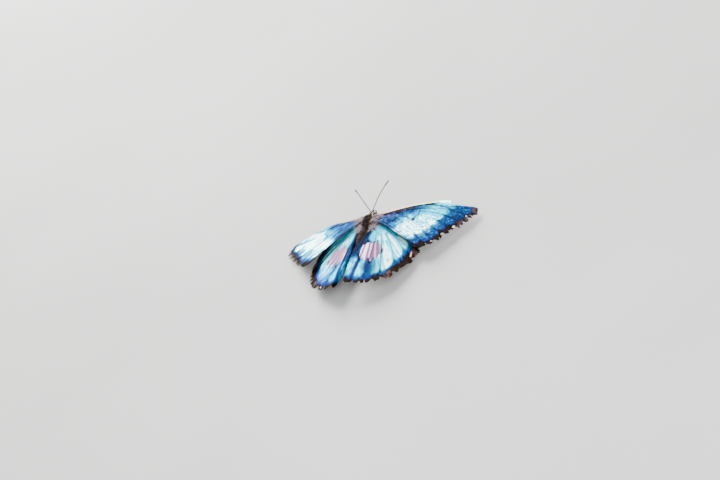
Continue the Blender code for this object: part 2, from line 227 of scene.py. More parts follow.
def inside(outline: np.ndarray, places: np.ndarray) -> np.ndarray:
    """Which flat places lie within a closed outline, by counting the edges to their right.

    Args:
        outline: the outline's points in order.
        places: flat places, one a row.

    Returns:
        Whether each place is inside.
    """
    a, b = outline, np.roll(outline, -1, axis=0)
    rise = np.where(b[:, 1] == a[:, 1], 1e-12, b[:, 1] - a[:, 1])
    found = []
    for start in range(0, len(places), BLOCK):
        x, y = places[start : start + BLOCK, 0:1], places[start : start + BLOCK, 1:2]
        crosses = (a[:, 1] > y) != (b[:, 1] > y)
        at = a[:, 0] + (y - a[:, 1]) * (b[:, 0] - a[:, 0]) / rise
        found.append((crosses & (x < at)).sum(axis=1) % 2 == 1)
    return np.concatenate(found) if found else np.zeros(0, dtype=bool)


def unit(rows: np.ndarray) -> np.ndarray:
    """Rows scaled to length one."""
    return rows / np.maximum(np.linalg.norm(rows, axis=1, keepdims=True), 1e-12)


def random_rows(random: np.random.Generator, count: int, *ranges: tuple[float, float]) -> np.ndarray:
    """Evenly spread random numbers, one column for each range, drawn column by column."""
    return np.stack([random.uniform(low, high, count) for low, high in ranges], axis=1)


def add(tree: bpy.types.NodeTree, kind: str, settings: dict | None = None, **links: object) -> bpy.types.Node:
    """Adds a node with its settings and what goes into it.

    Args:
        tree: the node tree.
        kind: the node's type.
        settings: the node's own properties.
        links: input name, with _ for a space, or iN for input number N, to a socket or a value.

    Returns:
        The node.
    """
    node = tree.nodes.new(kind)
    for name, value in (settings or {}).items():
        setattr(node, name, value)
    for name, value in links.items():
        key = int(name[1:]) if name[0] == "i" and name[1:].isdigit() else name.replace("_", " ")
        if isinstance(value, bpy.types.NodeSocket):
            tree.links.new(value, node.inputs[key])
        else:
            node.inputs[key].default_value = value
    return node


def frame_shift() -> np.ndarray:
    """Where the body's own origin stands in the frame, in millimetres."""
    low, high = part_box("thorax")
    return np.array([(low[0] + high[0]) / 2 / MM, high[1] / MM - THORAX_FRONT, 0.0])


def in_frame(places: np.ndarray, side: Side = Side.RIGHT, height: float = 0.0) -> np.ndarray:
    """Places on the body's own axes as places in the frame, mirrored for the left side and raised."""
    return places * np.array([side.value, 1.0, 1.0]) + np.array([0.0, 0.0, height]) + frame_shift()


def mesh_object(name: str, points: np.ndarray, faces: list, smooth: bool = True) -> bpy.types.Object:
    """A mesh object from points in the frame's millimetres.

    Args:
        name: the object's name.
        points: places, one a row.
        faces: point numbers of each face.
        smooth: whether its faces are shaded smooth.

    Returns:
        The object, linked to the scene.
    """
    mesh = bpy.data.meshes.new(name)
    mesh.from_pydata((np.asarray(points) * MM).tolist(), [], [list(map(int, face)) for face in faces])
    if smooth and len(faces):
        mesh.shade_smooth()
    made = bpy.data.objects.new(name, mesh)
    bpy.context.scene.collection.objects.link(made)
    return made


def coordinates(mesh: bpy.types.Mesh) -> np.ndarray:
    """Reads where a mesh's points are.

    Args:
        mesh: the mesh.

    Returns:
        Places in metres, one a row.
    """
    flat = np.zeros(len(mesh.vertices) * 3)
    mesh.vertices.foreach_get("co", flat)
    return flat.reshape(-1, 3)


def write_attribute(mesh: bpy.types.Mesh, name: str, kind: str, rows: np.ndarray) -> None:
    """Stores a value for each point of a mesh.

    Args:
        mesh: the mesh.
        name: the attribute's name.
        kind: its data type.
        rows: the values, one a row.
    """
    layer = mesh.attributes.new(name, kind, "POINT")
    word = {"FLOAT_COLOR": "color", "FLOAT": "value"}.get(kind, "vector")
    layer.data.foreach_set(word, np.ascontiguousarray(rows, dtype=np.float32).ravel())


def read_vectors(mesh: bpy.types.Mesh, name: str) -> np.ndarray:
    """Reads a vector attribute of a mesh's points.

    Args:
        mesh: the mesh.
        name: the attribute's name.

    Returns:
        Vectors, one a row.
    """
    flat = np.zeros(len(mesh.vertices) * 3, dtype=np.float32)
    mesh.attributes[name].data.foreach_get("vector", flat)
    return flat.reshape(-1, 3)


def opaque(colours: np.ndarray) -> np.ndarray:
    """Colours with a full alpha."""
    return np.concatenate([np.clip(colours, 0.0, 1.0), np.ones((len(colours), 1))], axis=1)


# ---- Finishes ----


@dataclass(frozen=True)
class Finish:
    """A surface finish. Its colour comes from an attribute, or from two colours in soft patches.

    The patches also lighten and darken the colour of an attribute, by mottle. A grain of zero size leaves the
    surface smooth, and cells make the grain a net of facets.
    """

    name: str
    roughness: float
    metallic: float = 0.0
    attribute: str = ""
    dark: str = "#000000"
    light: str = "#000000"
    patch_mm: float = 1.0
    mottle: float = 0.0
    grain_mm: float = 0.0
    grain_depth: float = 0.0
    cells: bool = False
    coat: float = 0.0
    gloss: float = 0.5
    ior: float = 1.5

    COAT_ROUGHNESS = 0.08
    PATCH_EDGES = (0.35, 0.68)  # where the dark colour ends and the light one is whole

    def colour(self, tree: bpy.types.NodeTree, where: bpy.types.NodeSocket) -> bpy.types.NodeSocket:
        """Adds the nodes that colour the surface.

        Args:
            tree: the material's tree.
            where: object coordinates.

        Returns:
            The socket that gives the colour.
        """
        patches = add(tree, "ShaderNodeTexNoise", Vector=where, Scale=1.0 / (self.patch_mm * MM), Detail=3.0)
        if self.attribute:
            own = add(tree, "ShaderNodeAttribute", {"attribute_name": self.attribute}).outputs["Color"]
            shade = add(
                tree, "ShaderNodeMapRange", Value=patches.outputs["Fac"], From_Min=0.3, From_Max=0.7,
                To_Min=1.0 - self.mottle, To_Max=1.0 + self.mottle * 0.6,
            ).outputs["Result"]
            shaded = add(tree, "ShaderNodeVectorMath", {"operation": "MULTIPLY"}, i0=own, i1=shade)
            return shaded.outputs["Vector"]
        ramp = add(tree, "ShaderNodeValToRGB", Fac=patches.outputs["Fac"])
        for stop, edge, code in zip(ramp.color_ramp.elements, self.PATCH_EDGES, (self.dark, self.light)):
            stop.position = edge
            stop.color = (*linear(code), 1.0)
        return ramp.outputs["Color"]

    def relief(self, tree: bpy.types.NodeTree, where: bpy.types.NodeSocket) -> bpy.types.NodeSocket:
        """Adds the nodes that roughen the surface.

        Args:
            tree: the material's tree.
            where: object coordinates.

        Returns:
            The socket that gives the bumped normal.
        """
        scale = 1.0 / (self.grain_mm * MM)
        if self.cells:
            net = add(
                tree, "ShaderNodeTexVoronoi", {"feature": "DISTANCE_TO_EDGE"}, Vector=where, Scale=scale
            )
            grain = net.outputs["Distance"]
        else:
            grain = add(tree, "ShaderNodeTexNoise", Vector=where, Scale=scale, Detail=4.0).outputs["Fac"]
        bump = add(tree, "ShaderNodeBump", Height=grain, Strength=1.0, Distance=self.grain_depth * MM)
        return bump.outputs["Normal"]

    def build(self) -> bpy.types.Material:
        """Makes the material, or finds it if it is made.

        Returns:
            The material.
        """
        found = bpy.data.materials.get(self.name)
        if found:
            return found
        made = bpy.data.materials.new(self.name)
        made.use_nodes = True
        tree = made.node_tree
        tree.nodes.clear()
        where = add(tree, "ShaderNodeTexCoord").outputs["Object"]
        colour = self.colour(tree, where)
        shader = add(
            tree, "ShaderNodeBsdfPrincipled", Base_Color=colour, Roughness=self.roughness,
            Metallic=self.metallic, IOR=self.ior, Specular_IOR_Level=self.gloss, Coat_Weight=self.coat,
            Coat_Roughness=self.COAT_ROUGHNESS,
        )
        if self.metallic:
            tree.links.new(colour, shader.inputs["Specular Tint"])
        if self.grain_mm:
            tree.links.new(self.relief(tree, where), shader.inputs["Normal"])
        add(tree, "ShaderNodeOutputMaterial", Surface=shader.outputs["BSDF"])
        return made


# Morpho scales are chitin plates whose stacked ridges mirror blue light. They grow as overlapping rows, so
# the wing has a strong satin shine that is tinted like a metal's, and a grain of single scales. A real ridge
# is under 0.001 mm wide; the grain is drawn at 0.12 mm so that it shows.
SCALE_COAT = Finish(
    "morpho wing scales", roughness=0.46, metallic=0.68, attribute="tint", patch_mm=0.9, mottle=0.18,
    grain_mm=0.12, grain_depth=0.02, gloss=0.1,
)
# Bare wing membrane is thin dried chitin, drawn tight between the veins. It is dull, with a faint soft shine
# and fine wrinkles.
MEMBRANE = Finish(
    "wing membrane chitin", roughness=0.5, attribute="tint", patch_mm=0.7, mottle=0.22, grain_mm=0.35,
    grain_depth=0.06, gloss=0.15,
)
# Veins are hardened chitin tubes, grown smooth and faintly ringed, and shine a little more than the membrane.
VEIN = Finish(
    "wing vein chitin", roughness=0.5, attribute="tint", patch_mm=0.8, mottle=0.2, grain_mm=0.2,
    grain_depth=0.03,
)
# Body cuticle is a hard waxy shell that is pitted where hairs are rooted. It is dark and matt between them.
CUTICLE = Finish(
    "body cuticle", roughness=0.75, attribute="tint", patch_mm=1.1, mottle=0.3, grain_mm=0.22,
    grain_depth=0.05, gloss=0.1,
)
# Insect hairs are ridged chitin bristles. A coat of them scatters light and looks soft, with no highlight.
# One hair is 0.01 mm thick, so tufts are drawn instead.
HAIR = Finish(
    "insect hair", roughness=0.66, attribute="tint", patch_mm=0.8, mottle=0.25, grain_mm=0.15,
    grain_depth=0.01, gloss=0.15,
)
# A compound eye is a dome of clear lenses over dark pigment, so it has a small sharp highlight and a fine
# net. The net is drawn at 0.16 mm, coarser than the real facets of 0.03 mm, so that it shows.
COMPOUND_EYE = Finish(
    "compound eye", roughness=0.28, dark="#070303", light="#24120b", patch_mm=0.9, grain_mm=0.16,
    grain_depth=0.02, cells=True, coat=0.2,
)
# Feelers and tongue are ringed cuticle under a fine down, nearly matt.
ANTENNA = Finish(
    "antenna cuticle", roughness=0.6, attribute="tint", patch_mm=0.5, mottle=0.25, grain_mm=0.12,
    grain_depth=0.02, gloss=0.2,
)
# Leg cuticle is smooth, hard and waxed, which gives thin highlights along the legs.
LEG = Finish(
    "leg cuticle", roughness=0.48, dark="#1c130e", light="#4a3526", patch_mm=0.9, grain_mm=0.14,
    grain_depth=0.03, coat=0.12,
)
# The floor is rolled matt paint, with soft clouds of tone and a low stipple.
FLOOR = Finish(
    "painted studio floor", roughness=0.75, dark="#9c9b98", light="#a5a4a1", patch_mm=260.0, grain_mm=3.0,
    grain_depth=0.02,
)


# ---- Geometry Nodes ----


def open_tree(name: str, sockets: dict[str, str]) -> tuple[bpy.types.NodeTree, bpy.types.Node]:
    """Starts a node group with a geometry in and out and its named inputs.

    Args:
        name: the group's name.
        sockets: input name to socket type.

    Returns:
        The group and its input node.
    """
    tree = bpy.data.node_groups.new(name, "GeometryNodeTree")
    tree.interface.new_socket("Geometry", in_out="OUTPUT", socket_type="NodeSocketGeometry")
    for word, kind in {"Geometry": "NodeSocketGeometry", **sockets, "Material": "NodeSocketMaterial"}.items():
        tree.interface.new_socket(word, in_out="INPUT", socket_type=kind)
    return tree, tree.nodes.new("NodeGroupInput")


def close_tree(tree: bpy.types.NodeTree, given: bpy.types.Node, shape: bpy.types.NodeSocket) -> None:
    """Ends a node group: its instances are made real and take the group's material.

    Args:
        tree: the group.
        given: the group's input node.
        shape: the geometry so far.
    """
    real = add(tree, "GeometryNodeRealizeInstances", Geometry=shape).outputs["Geometry"]
    dressed = add(tree, "GeometryNodeSetMaterial", Geometry=real, Material=given.outputs["Material"])
    add(tree, "NodeGroupOutput", Geometry=dressed.outputs["Geometry"])


def vane_tree() -> bpy.types.NodeTree:
    """A group that stands a vane on each point, turned by the point's up and lie.

    Returns:
        The group, made on the first call.
    """
    name = "Vane coat"
    if name in bpy.data.node_groups:
        return bpy.data.node_groups[name]
    tree, given = open_tree(name, {
        "Vane": "NodeSocketObject", "Width": "NodeSocketFloat", "Length": "NodeSocketFloat",
        "Height": "NodeSocketFloat",
    })
    vane = add(tree, "GeometryNodeObjectInfo", Object=given.outputs["Vane"])
    up, lie, size = (
        add(tree, "GeometryNodeInputNamedAttribute", {"data_type": "FLOAT_VECTOR"}, Name=word).outputs[0]
        for word in ("up", "lie", "size")
    )
    turn = add(
        tree, "FunctionNodeAxesToRotation", {"primary_axis": "Z", "secondary_axis": "Y"}, Primary_Axis=up,
        Secondary_Axis=lie,
    )
    whole = add(
        tree, "ShaderNodeCombineXYZ", X=given.outputs["Width"], Y=given.outputs["Length"],
        Z=given.outputs["Height"],
    )
    scale = add(tree, "ShaderNodeVectorMath", {"operation": "MULTIPLY"}, i0=size, i1=whole.outputs["Vector"])
    placed = add(
        tree, "GeometryNodeInstanceOnPoints", Points=given.outputs["Geometry"],
        Instance=vane.outputs["Geometry"], Rotation=turn.outputs["Rotation"], Scale=scale.outputs["Vector"],
    )
    close_tree(tree, given, placed.outputs["Instances"])
    return tree


def rod_tree() -> bpy.types.NodeTree:
    """A group that runs a round rod along each line of edges, as thick as the line's points say.

    Returns:
        The group, made on the first call.
    """
    name = "Rod along path"
    if name in bpy.data.node_groups:
        return bpy.data.node_groups[name]
    tree, given = open_tree(name, {"Thickness": "NodeSocketFloat", "Sides": "NodeSocketInt"})
    line = add(tree, "GeometryNodeMeshToCurve", Mesh=given.outputs["Geometry"])
    thick = add(tree, "GeometryNodeInputNamedAttribute", {"data_type": "FLOAT"}, Name="thick")
    radius = add(
        tree, "ShaderNodeMath", {"operation": "MULTIPLY"}, i0=thick.outputs["Attribute"],
        i1=given.outputs["Thickness"],
    )
    ring = add(tree, "GeometryNodeCurvePrimitiveCircle", Resolution=given.outputs["Sides"], Radius=1.0)
    solid = add(
        tree, "GeometryNodeCurveToMesh", Curve=line.outputs["Curve"], Profile_Curve=ring.outputs["Curve"],
        Scale=radius.outputs["Value"], Fill_Caps=True,
    )
    smooth = add(tree, "GeometryNodeSetShadeSmooth", Geometry=solid.outputs["Mesh"], Shade_Smooth=True)
    close_tree(tree, given, smooth.outputs["Geometry"])
    return tree


def grow(seed: bpy.types.Object, tree: bpy.types.NodeTree, values: dict[str, object]) -> bpy.types.Object:
    """Runs a node group on a seed object and keeps the result as a plain mesh.

    Args:
        seed: the object whose points or lines the group starts from. Its mesh is replaced.
        tree: the node group.
        values: the group's inputs by name.

    Returns:
        The same object, with its new mesh and no modifier.
    """
    modifier = seed.modifiers.new(tree.name, "NODES")
    modifier.node_group = tree
    sockets = {item.name: item.identifier for item in tree.interface.items_tree if item.in_out == "INPUT"}
    for name, value in values.items():
        modifier[sockets[name]] = value
    bpy.context.view_layer.update()
    graph = bpy.context.evaluated_depsgraph_get()
    made = bpy.data.meshes.new_from_object(
        seed.evaluated_get(graph), preserve_all_data_layers=True, depsgraph=graph
    )
    seed.modifiers.remove(modifier)
    old, seed.data = seed.data, made
    bpy.data.meshes.remove(old)
    made.name = seed.name
    return seed


@dataclass
class Vane:
    """The shape of one scale or hair: root at the origin, Y along it, Z away from the skin, one unit long."""

    name: str
    points: list
    faces: list

    def build(self) -> bpy.types.Object:
        """Makes the object to repeat, or finds it if it is made.

        Returns:
            The object, with each point's place in its patch of the bake map.
        """
        found = bpy.data.objects.get(self.name)
        if found:
            return found
        mesh = bpy.data.meshes.new(self.name)
        mesh.from_pydata(self.points, [], self.faces)
        leaf = np.array([(p[0], p[1] - 0.5, 0.0) for p in self.points])
        write_attribute(mesh, "leaf", "FLOAT_VECTOR", leaf)
        return bpy.data.objects.new(self.name, mesh)


# A wing scale is a keeled blade, widest beyond its middle.
SCALE_VANE = Vane(
    "scale vane", [(0.0, 0.0, 0.0), (0.5, 0.66, 0.02), (-0.5, 0.66, 0.02), (0.0, 1.0, 0.16)],
    [(0, 1, 3), (0, 3, 2), (0, 2, 1), (1, 2, 3)],
)


def hair_vane() -> Vane:
    """A tuft of hairs: a slim three-sided blade that bends over towards its lie.

    Returns:
        The tuft, with its foot and sides closed.
    """
    rings = ((0.0, 0.0, 0.5), (0.4, 0.55, 0.42), (0.78, 0.88, 0.26))  # along, height, half width
    points, faces = [], [(0, 1, 2)]
    for along, height, half in rings:
        for corner in range(3):
            turn = 2 * math.pi * corner / 3 + math.pi / 2
            points.append((half * math.cos(turn), along, height + half * 0.12 * math.sin(turn)))
    for low in (0, 3):
        for corner in range(3):
            other = (corner + 1) % 3
            faces.append((low + corner, low + 3 + corner, low + 3 + other, low + other))
    tip = (0.0, 1.0, 1.0)
    return Vane("hair vane", [*points, tip], [*faces, (7, 6, 9), (8, 7, 9), (6, 8, 9)])


HAIR_VANE = hair_vane()


@dataclass
class Coat:
    """Roots of scales or hairs on a skin, and how they are dressed."""

    name: str
    vane: Vane
    finish: Finish
    width: float
    length: float
    height: float

    def build(
        self, roots: np.ndarray, up: np.ndarray, lie: np.ndarray, size: np.ndarray, tint: np.ndarray,
        patch: np.ndarray,
    ) -> bpy.types.Object:
        """Grows the coat.

        Args:
            roots: places in the frame, in millimetres, one a row.
            up: the skin's normals there.
            lie: which way each one points.
            size: shares of the coat's width, length and height.
            tint: colours.
            patch: places on an unwrap of the skin, from 0 to 1.

        Returns:
            The coat as one mesh object with its bake map.
        """
        seed = mesh_object(self.name, roots, [])
        vectors = {"up": up, "lie": lie, "size": size, "patch": np.pad(patch, ((0, 0), (0, 1)))}
        for word, rows in vectors.items():
            write_attribute(seed.data, word, "FLOAT_VECTOR", rows)
        write_attribute(seed.data, "tint", "FLOAT_COLOR", opaque(tint))
        coat = grow(seed, vane_tree(), {
            "Vane": self.vane.build(), "Width": self.width * MM, "Length": self.length * MM,
            "Height": self.height * MM, "Material": self.finish.build(),
        })
        mesh = coat.data
        place = read_vectors(mesh, "patch") + read_vectors(mesh, "leaf") * BAKE_PATCH
        corners = np.zeros(len(mesh.loops), dtype=np.int32)
        mesh.loops.foreach_get("vertex_index", corners)
        layer = mesh.uv_layers.new(name="OFBake")
        layer.data.foreach_set("uv", np.clip(place[corners, :2], 0.001, 0.999).astype(np.float32).ravel())
        for word in (*vectors, "leaf"):
            mesh.attributes.remove(mesh.attributes[word])
        return coat


@dataclass
class Rod:
    """Round rods along paths, such as veins, legs and feelers."""

    name: str
    finish: Finish
    sides: int

    def build(
        self, paths: list[np.ndarray], radii: list[np.ndarray], tints: list[np.ndarray]
    ) -> bpy.types.Object:
        """Grows the rods.

        Args:
            paths: the points of each path in the frame, in millimetres.
            radii: each point's radius in millimetres.
            tints: each point's colour.

        Returns:
            All of the rods as one mesh object.
        """
        edges, start = [], 0
        for path in paths:
            edges += [(start + i, start + i + 1) for i in range(len(path) - 1)]
            start += len(path)
        mesh = bpy.data.meshes.new(self.name)
        mesh.from_pydata((np.concatenate(paths) * MM).tolist(), edges, [])
        write_attribute(mesh, "thick", "FLOAT", np.concatenate(radii))
        write_attribute(mesh, "tint", "FLOAT_COLOR", opaque(np.concatenate(tints)))
        seed = bpy.data.objects.new(self.name, mesh)
        bpy.context.scene.collection.objects.link(seed)
        return grow(seed, rod_tree(), {"Thickness": MM, "Sides": self.sides, "Material": self.finish.build()})


def hold_inside(piece: bpy.types.Object) -> None:
    """Bends stray tips back inside the box of the solids.

    Args:
        piece: the piece, in place.
    """
    low, high = (np.array(corner) for corner in SOLID_BOX)
    points = np.clip(coordinates(piece.data), low + BOX_MARGIN * MM, high - BOX_MARGIN * MM)
    piece.data.vertices.foreach_set("co", points.ravel())
    piece.data.update()


def join_frame(piece: bpy.types.Object, slot: Slot, *nodes: str) -> None:
    """Puts a finished piece on the frame.

    Args:
        piece: the piece, in place.
        slot: not used.
        nodes: the frame's nodes that it stands for.
    """
    hold_inside(piece)
    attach(piece, "root")
    if nodes:
        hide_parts(*nodes)
    LOG.info("%s: %d faces", piece.name, len(piece.data.polygons))


# ---- Wings ----

# flat outlines, in order from the hinge along the front edge, down the outer margin and back to the hinge
RIGHT_COSTA = [
    (0.0, 0.8), (4.0, 3.6), (10.0, 8.1), (18.0, 13.9), (27.0, 19.6), (35.0, 24.2), (40.8, 26.9), (41.7, 26.5),
    (42.5, 24.8), (46.0, 25.4), (50.5, 27.0), (55.5, 28.4), (59.3, 28.7), (61.9, 26.2), (62.2, 22.2),
]
LEFT_COSTA = [
    (0.0, 0.6), (4.0, 2.7), (10.0, 6.8), (18.0, 12.6), (27.0, 18.3), (32.0, 20.6), (36.5, 21.3),
    (42.0, 22.2), (47.0, 24.0), (51.5, 26.6), (56.5, 27.8), (60.2, 26.0), (61.2, 21.6),
]
APEX_TO_ROOT = [
    (60.4, 15.5), (57.8, 8.6), (55.2, 1.8), (52.6, -4.6), (49.8, -9.8), (46.4, -12.4), (41.0, -12.2),
    (32.0, -10.0), (20.0, -7.0), (10.0, -4.6), (3.0, -3.6), (-0.4, -3.4),
]
HINDWING_OUTLINE = [
    (-1.2, 3.4), (4.0, 6.6), (12.0, 8.4), (20.0, 8.5), (27.5, 7.2), (34.0, 4.2), (37.8, -0.4), (40.2, -6.8),
    (41.0, -13.2), (40.6, -20.0), (39.4, -27.0), (37.2, -33.4), (34.2, -39.4), (29.4, -44.4), (23.2, -48.4),
    (17.0, -50.9), (12.0, -51.6), (9.2, -48.6), (7.0, -42.0), (4.4, -34.0), (1.8, -25.0), (0.4, -18.0),
    (-0.2, -12.0), (0.2, -6.0), (0.0, -1.2),
]
FOREWING_VEINS = {
    "subcosta": [(0.0, 0.4), (12.0, 7.4), (24.0, 15.6), (32.0, 20.4)],
    "radius 1": [(17.0, 8.8), (27.0, 15.6), (36.0, 20.6), (42.0, 22.8)],
    "radius 2": [(22.0, 11.6), (32.0, 17.4), (42.0, 21.4), (50.0, 25.2)],
    "radius 3": [(27.0, 14.0), (38.0, 18.4), (48.0, 21.8), (55.0, 26.6)],
    "radius 5": [(42.0, 19.8), (51.0, 20.6), (60.5, 19.6)],
    "media 1": [(27.6, 12.4), (40.0, 15.2), (51.0, 15.2), (59.5, 13.8)],
    "media 2": [(28.4, 9.4), (40.0, 10.4), (50.0, 9.4), (57.4, 7.8)],
    "media 3": [(27.4, 6.2), (38.0, 5.4), (48.0, 3.2), (54.6, 1.8)],
    "cubitus 1": [(23.0, 5.4), (34.0, 2.2), (44.0, -2.0), (52.0, -5.0)],
    "cubitus 2": [(14.0, 3.4), (26.0, 0.0), (38.0, -5.2), (48.6, -10.2)],
    "anal": [(0.0, -0.6), (14.0, -3.6), (30.0, -8.2), (44.0, -11.9)],
    "cell front": [(0.0, 0.2), (10.0, 4.8), (20.0, 10.4), (27.0, 14.0)],
    "cell back": [(0.0, -0.2), (6.0, 1.2), (12.0, 2.8), (20.0, 5.0), (27.4, 6.2)],
    "cell end": [(27.0, 14.0), (28.6, 10.2), (27.4, 6.2)],
}
HINDWING_VEINS = {
    "costa": [(0.0, 0.8), (8.0, 4.8), (18.0, 6.6), (28.0, 5.4), (36.0, 1.4)],
    "radius": [(4.0, 1.4), (14.0, 3.0), (26.0, 1.2), (38.0, -4.5)],
    "media 1": [(9.0, 1.2), (20.0, -1.4), (31.0, -6.5), (39.6, -13.0)],
    "media 2": [(12.5, -2.0), (21.0, -6.8), (31.0, -14.5), (38.8, -23.0)],
    "media 3": [(13.2, -5.4), (21.0, -13.2), (29.0, -23.0), (35.8, -33.0)],
    "cubitus 1": [(11.4, -7.6), (17.6, -18.0), (24.0, -30.0), (30.0, -42.5)],
    "cubitus 2": [(7.2, -6.0), (11.8, -18.0), (16.4, -32.0), (21.0, -48.0)],
    "anal 2": [(0.2, -0.8), (3.6, -9.0), (6.6, -20.0), (9.8, -33.0), (13.6, -49.6)],
    "anal 3": [(0.1, -1.0), (1.4, -8.0), (2.2, -16.0), (3.2, -25.0)],
    "cell front": [(0.0, 0.2), (5.0, 1.6), (9.0, 1.2), (12.5, -2.0), (13.2, -5.4)],
    "cell back": [(0.0, -0.4), (3.6, -3.0), (7.2, -6.0), (11.4, -7.6)],
}


@dataclass(kw_only=True)
class WingPlan:
    """One wing's flat outline, its wear and how it hangs. Angles are in degrees."""

    kind: str
    side: Side
    outline: list
    margin: tuple[int, int]  # the outline's keys where the outer margin starts and ends
    teeth: int
    tooth_depth: float
    notches: list  # share of the margin, depth and half width of each tear
    splits: int
    frayed: float
    veins: dict[str, list]
    focus: tuple[float, float]  # where the rows of scales fan out from
    hinge: tuple[float, float, float]
    raised: float
    swept: float
    pitch: float
    curl: float
    ripple: float
    tucked: bool = False

    TUCK_RADIUS = 1.3
    TUCK_LINE = [(-26.5, 1.7), (-21.0, 4.05), (-7.0, 4.05), (-4.6, 2.9)]  # Y and X of the fold

    def __post_init__(self) -> None:
        """Draws the smooth lines that the other methods measure from."""
        self.vein_lines = {name: smooth_through(keys, 6) for name, keys in self.veins.items()}
        per_key = 4
        smooth = smooth_through(self.outline, per_key)
        start, end = self.margin
        self.margin_line = smooth[start * per_key : end * per_key + 1]
        self.inner_line = smooth[end * per_key :]

    @property
    def node(self) -> str:
        """The frame's node that this wing replaces."""
        return f"{self.kind}_{self.side.word}"

    def worn_outline(self, margin_step: float, edge_step: float) -> np.ndarray:
        """The flat outline with its scallops, tears and splits.

        Args:
            margin_step: spacing of points along the outer margin.
            edge_step: spacing of points elsewhere.

        Returns:
            The outline's points in order.
        """
        per_key = 12
        curve = smooth_through(self.outline, per_key)
        length = np.concatenate([[0.0], np.cumsum(np.linalg.norm(np.diff(curve, axis=0), axis=1))])
        start, end = (length[key * per_key] for key in self.margin)
        places = np.concatenate([
            np.arange(0.0, start, edge_step), np.arange(start, end, margin_step),
            np.arange(end, length[-1], edge_step), length[-1:],
        ])
        points, ahead, behind = (
            np.stack([np.interp(places + shift, length, curve[:, k]) for k in range(2)], axis=1)
            for shift in (0.0, 0.2, -0.2)
        )
        along = unit(ahead - behind)
        inwards = np.stack([along[:, 1], -along[:, 0]], axis=1)
        share = np.clip((places - start) / (end - start), 0.0, 1.0)
        depth = self.tooth_depth * np.abs(np.sin(math.pi * self.teeth * share))
        for where, deep, half_width in self.notches:
            away = np.abs(share - where) * (end - start) / half_width
            depth = np.maximum(depth, deep * np.clip(1.25 - away, 0.0, 1.0) ** 0.8)
        # fraying and short splits, on the outer margin only
        random = np.random.default_rng(11 + len(self.node) + self.side.value)
        on_margin = (share > 0.0) & (share < 1.0)
        level = np.zeros(len(places))
        depth = depth + self.frayed * noise(places / 0.45, level, 5) * on_margin
        depth = depth + 0.5 * self.frayed * noise(places / 1.3, level, 9) * on_margin
        for where in random.uniform(0.02, 0.98, self.splits):
            away = np.abs(share - where) * (end - start) / random.uniform(0.2, 0.7)
            cut = random.uniform(1.0, 4.0) * np.clip(1.2 - away, 0.0, 1.0) ** 0.7
            depth = np.maximum(depth, cut * on_margin)
        depth = depth + 0.05 * noise(places / 0.8, level, 3)
        points = points + inwards * (depth * np.where(on_margin, 1.0, 0.6))[:, None]
        keep = np.concatenate([[True], np.linalg.norm(np.diff(points, axis=0), axis=1) > 0.08])
        points = points[keep]
        # the root runs on inwards until the thorax's hair hides it
        points[:, 0] -= 1.6 * ease(5.0, 1.4, np.hypot(points[:, 0], points[:, 1]))
        return points

    def vein_distance(self, flat: np.ndarray) -> np.ndarray:
        """How far flat places are from the nearest vein."""
        return np.min([distance_to(line, flat) for line in self.vein_lines.values()], axis=0)

    def middle(self, flat: np.ndarray) -> np.ndarray:
        """Curls, sweeps, tilts and tucks flat places as the solid's middle surface is.

        Args:
            flat: places on the flat right wing.

        Returns:
            Places on the body's own axes, as a right wing.
        """
        x, y = flat[:, 0], flat[:, 1]
        swept, raised, pitch = (math.radians(a) for a in (self.swept, self.raised, self.pitch))
        across = x * math.cos(swept) + y * math.sin(swept)
        forward = -x * math.sin(swept) + y * math.cos(swept)
        outer = np.clip(np.hypot(x, y) / 55.0, 0, 1) ** 2
        height = -self.curl * across**2 / 60.0 + self.ripple * np.sin(0.42 * y + 0.11 * x) * outer
        ahead = forward * math.cos(pitch) - height * math.sin(pitch)
        above = forward * math.sin(pitch) + height * math.cos(pitch)
        out = np.stack([
            across * math.cos(raised) - above * math.sin(raised), ahead,
            across * math.sin(raised) + above * math.cos(raised),
        ], axis=1)
        out += np.array(self.hinge) + np.array([0.0, 0.0, BODY_HEIGHT])
        if self.tucked:
            line = np.interp(out[:, 1], *zip(*self.TUCK_LINE))
            beyond = np.clip(line - out[:, 0], 0.0, None)
            fold = np.minimum(beyond / self.TUCK_RADIUS, math.pi / 2)
            straight = beyond - self.TUCK_RADIUS * fold
            out[:, 0] = np.maximum(out[:, 0], line) - self.TUCK_RADIUS * np.sin(fold)
            out[:, 2] -= self.TUCK_RADIUS * (1 - np.cos(fold)) + straight
        return out

    def place(self, flat: np.ndarray, lift: np.ndarray | float = 0.0) -> tuple[np.ndarray, np.ndarray]:
        """Puts flat points on the butterfly.

        Args:
            flat: places on the flat right wing.
            lift: how far above the middle surface each one is.

        Returns:
            Places in the frame and the upper face's normals, one a row.
        """
        step = 0.05
        middle = self.middle(flat)
        outwards = self.middle(flat + np.array([step, 0.0])) - middle
        forwards = self.middle(flat + np.array([0.0, step])) - middle
        normal = unit(np.cross(outwards, forwards))
        places = middle + normal * np.broadcast_to(lift, (len(flat),))[:, None]
        return in_frame(places, self.side), normal * np.array([self.side.value, 1.0, 1.0])

    def pleats(self, flat: np.ndarray, away: np.ndarray) -> np.ndarray:
        """The membrane's height where it is drawn up to its veins and puckers between them."""
        puckers = noise(flat[:, 0] / 2.2, flat[:, 1] / 2.2, 21) - 0.5
        return 0.1 * np.exp(-((away / 0.9) ** 2)) - 0.05 + 0.08 * puckers * ease(0.3, 1.5, away)

    def lie(self, flat: np.ndarray) -> np.ndarray:
        """Which way the scales point on the flat wing."""
        return unit(flat - np.array(self.focus))

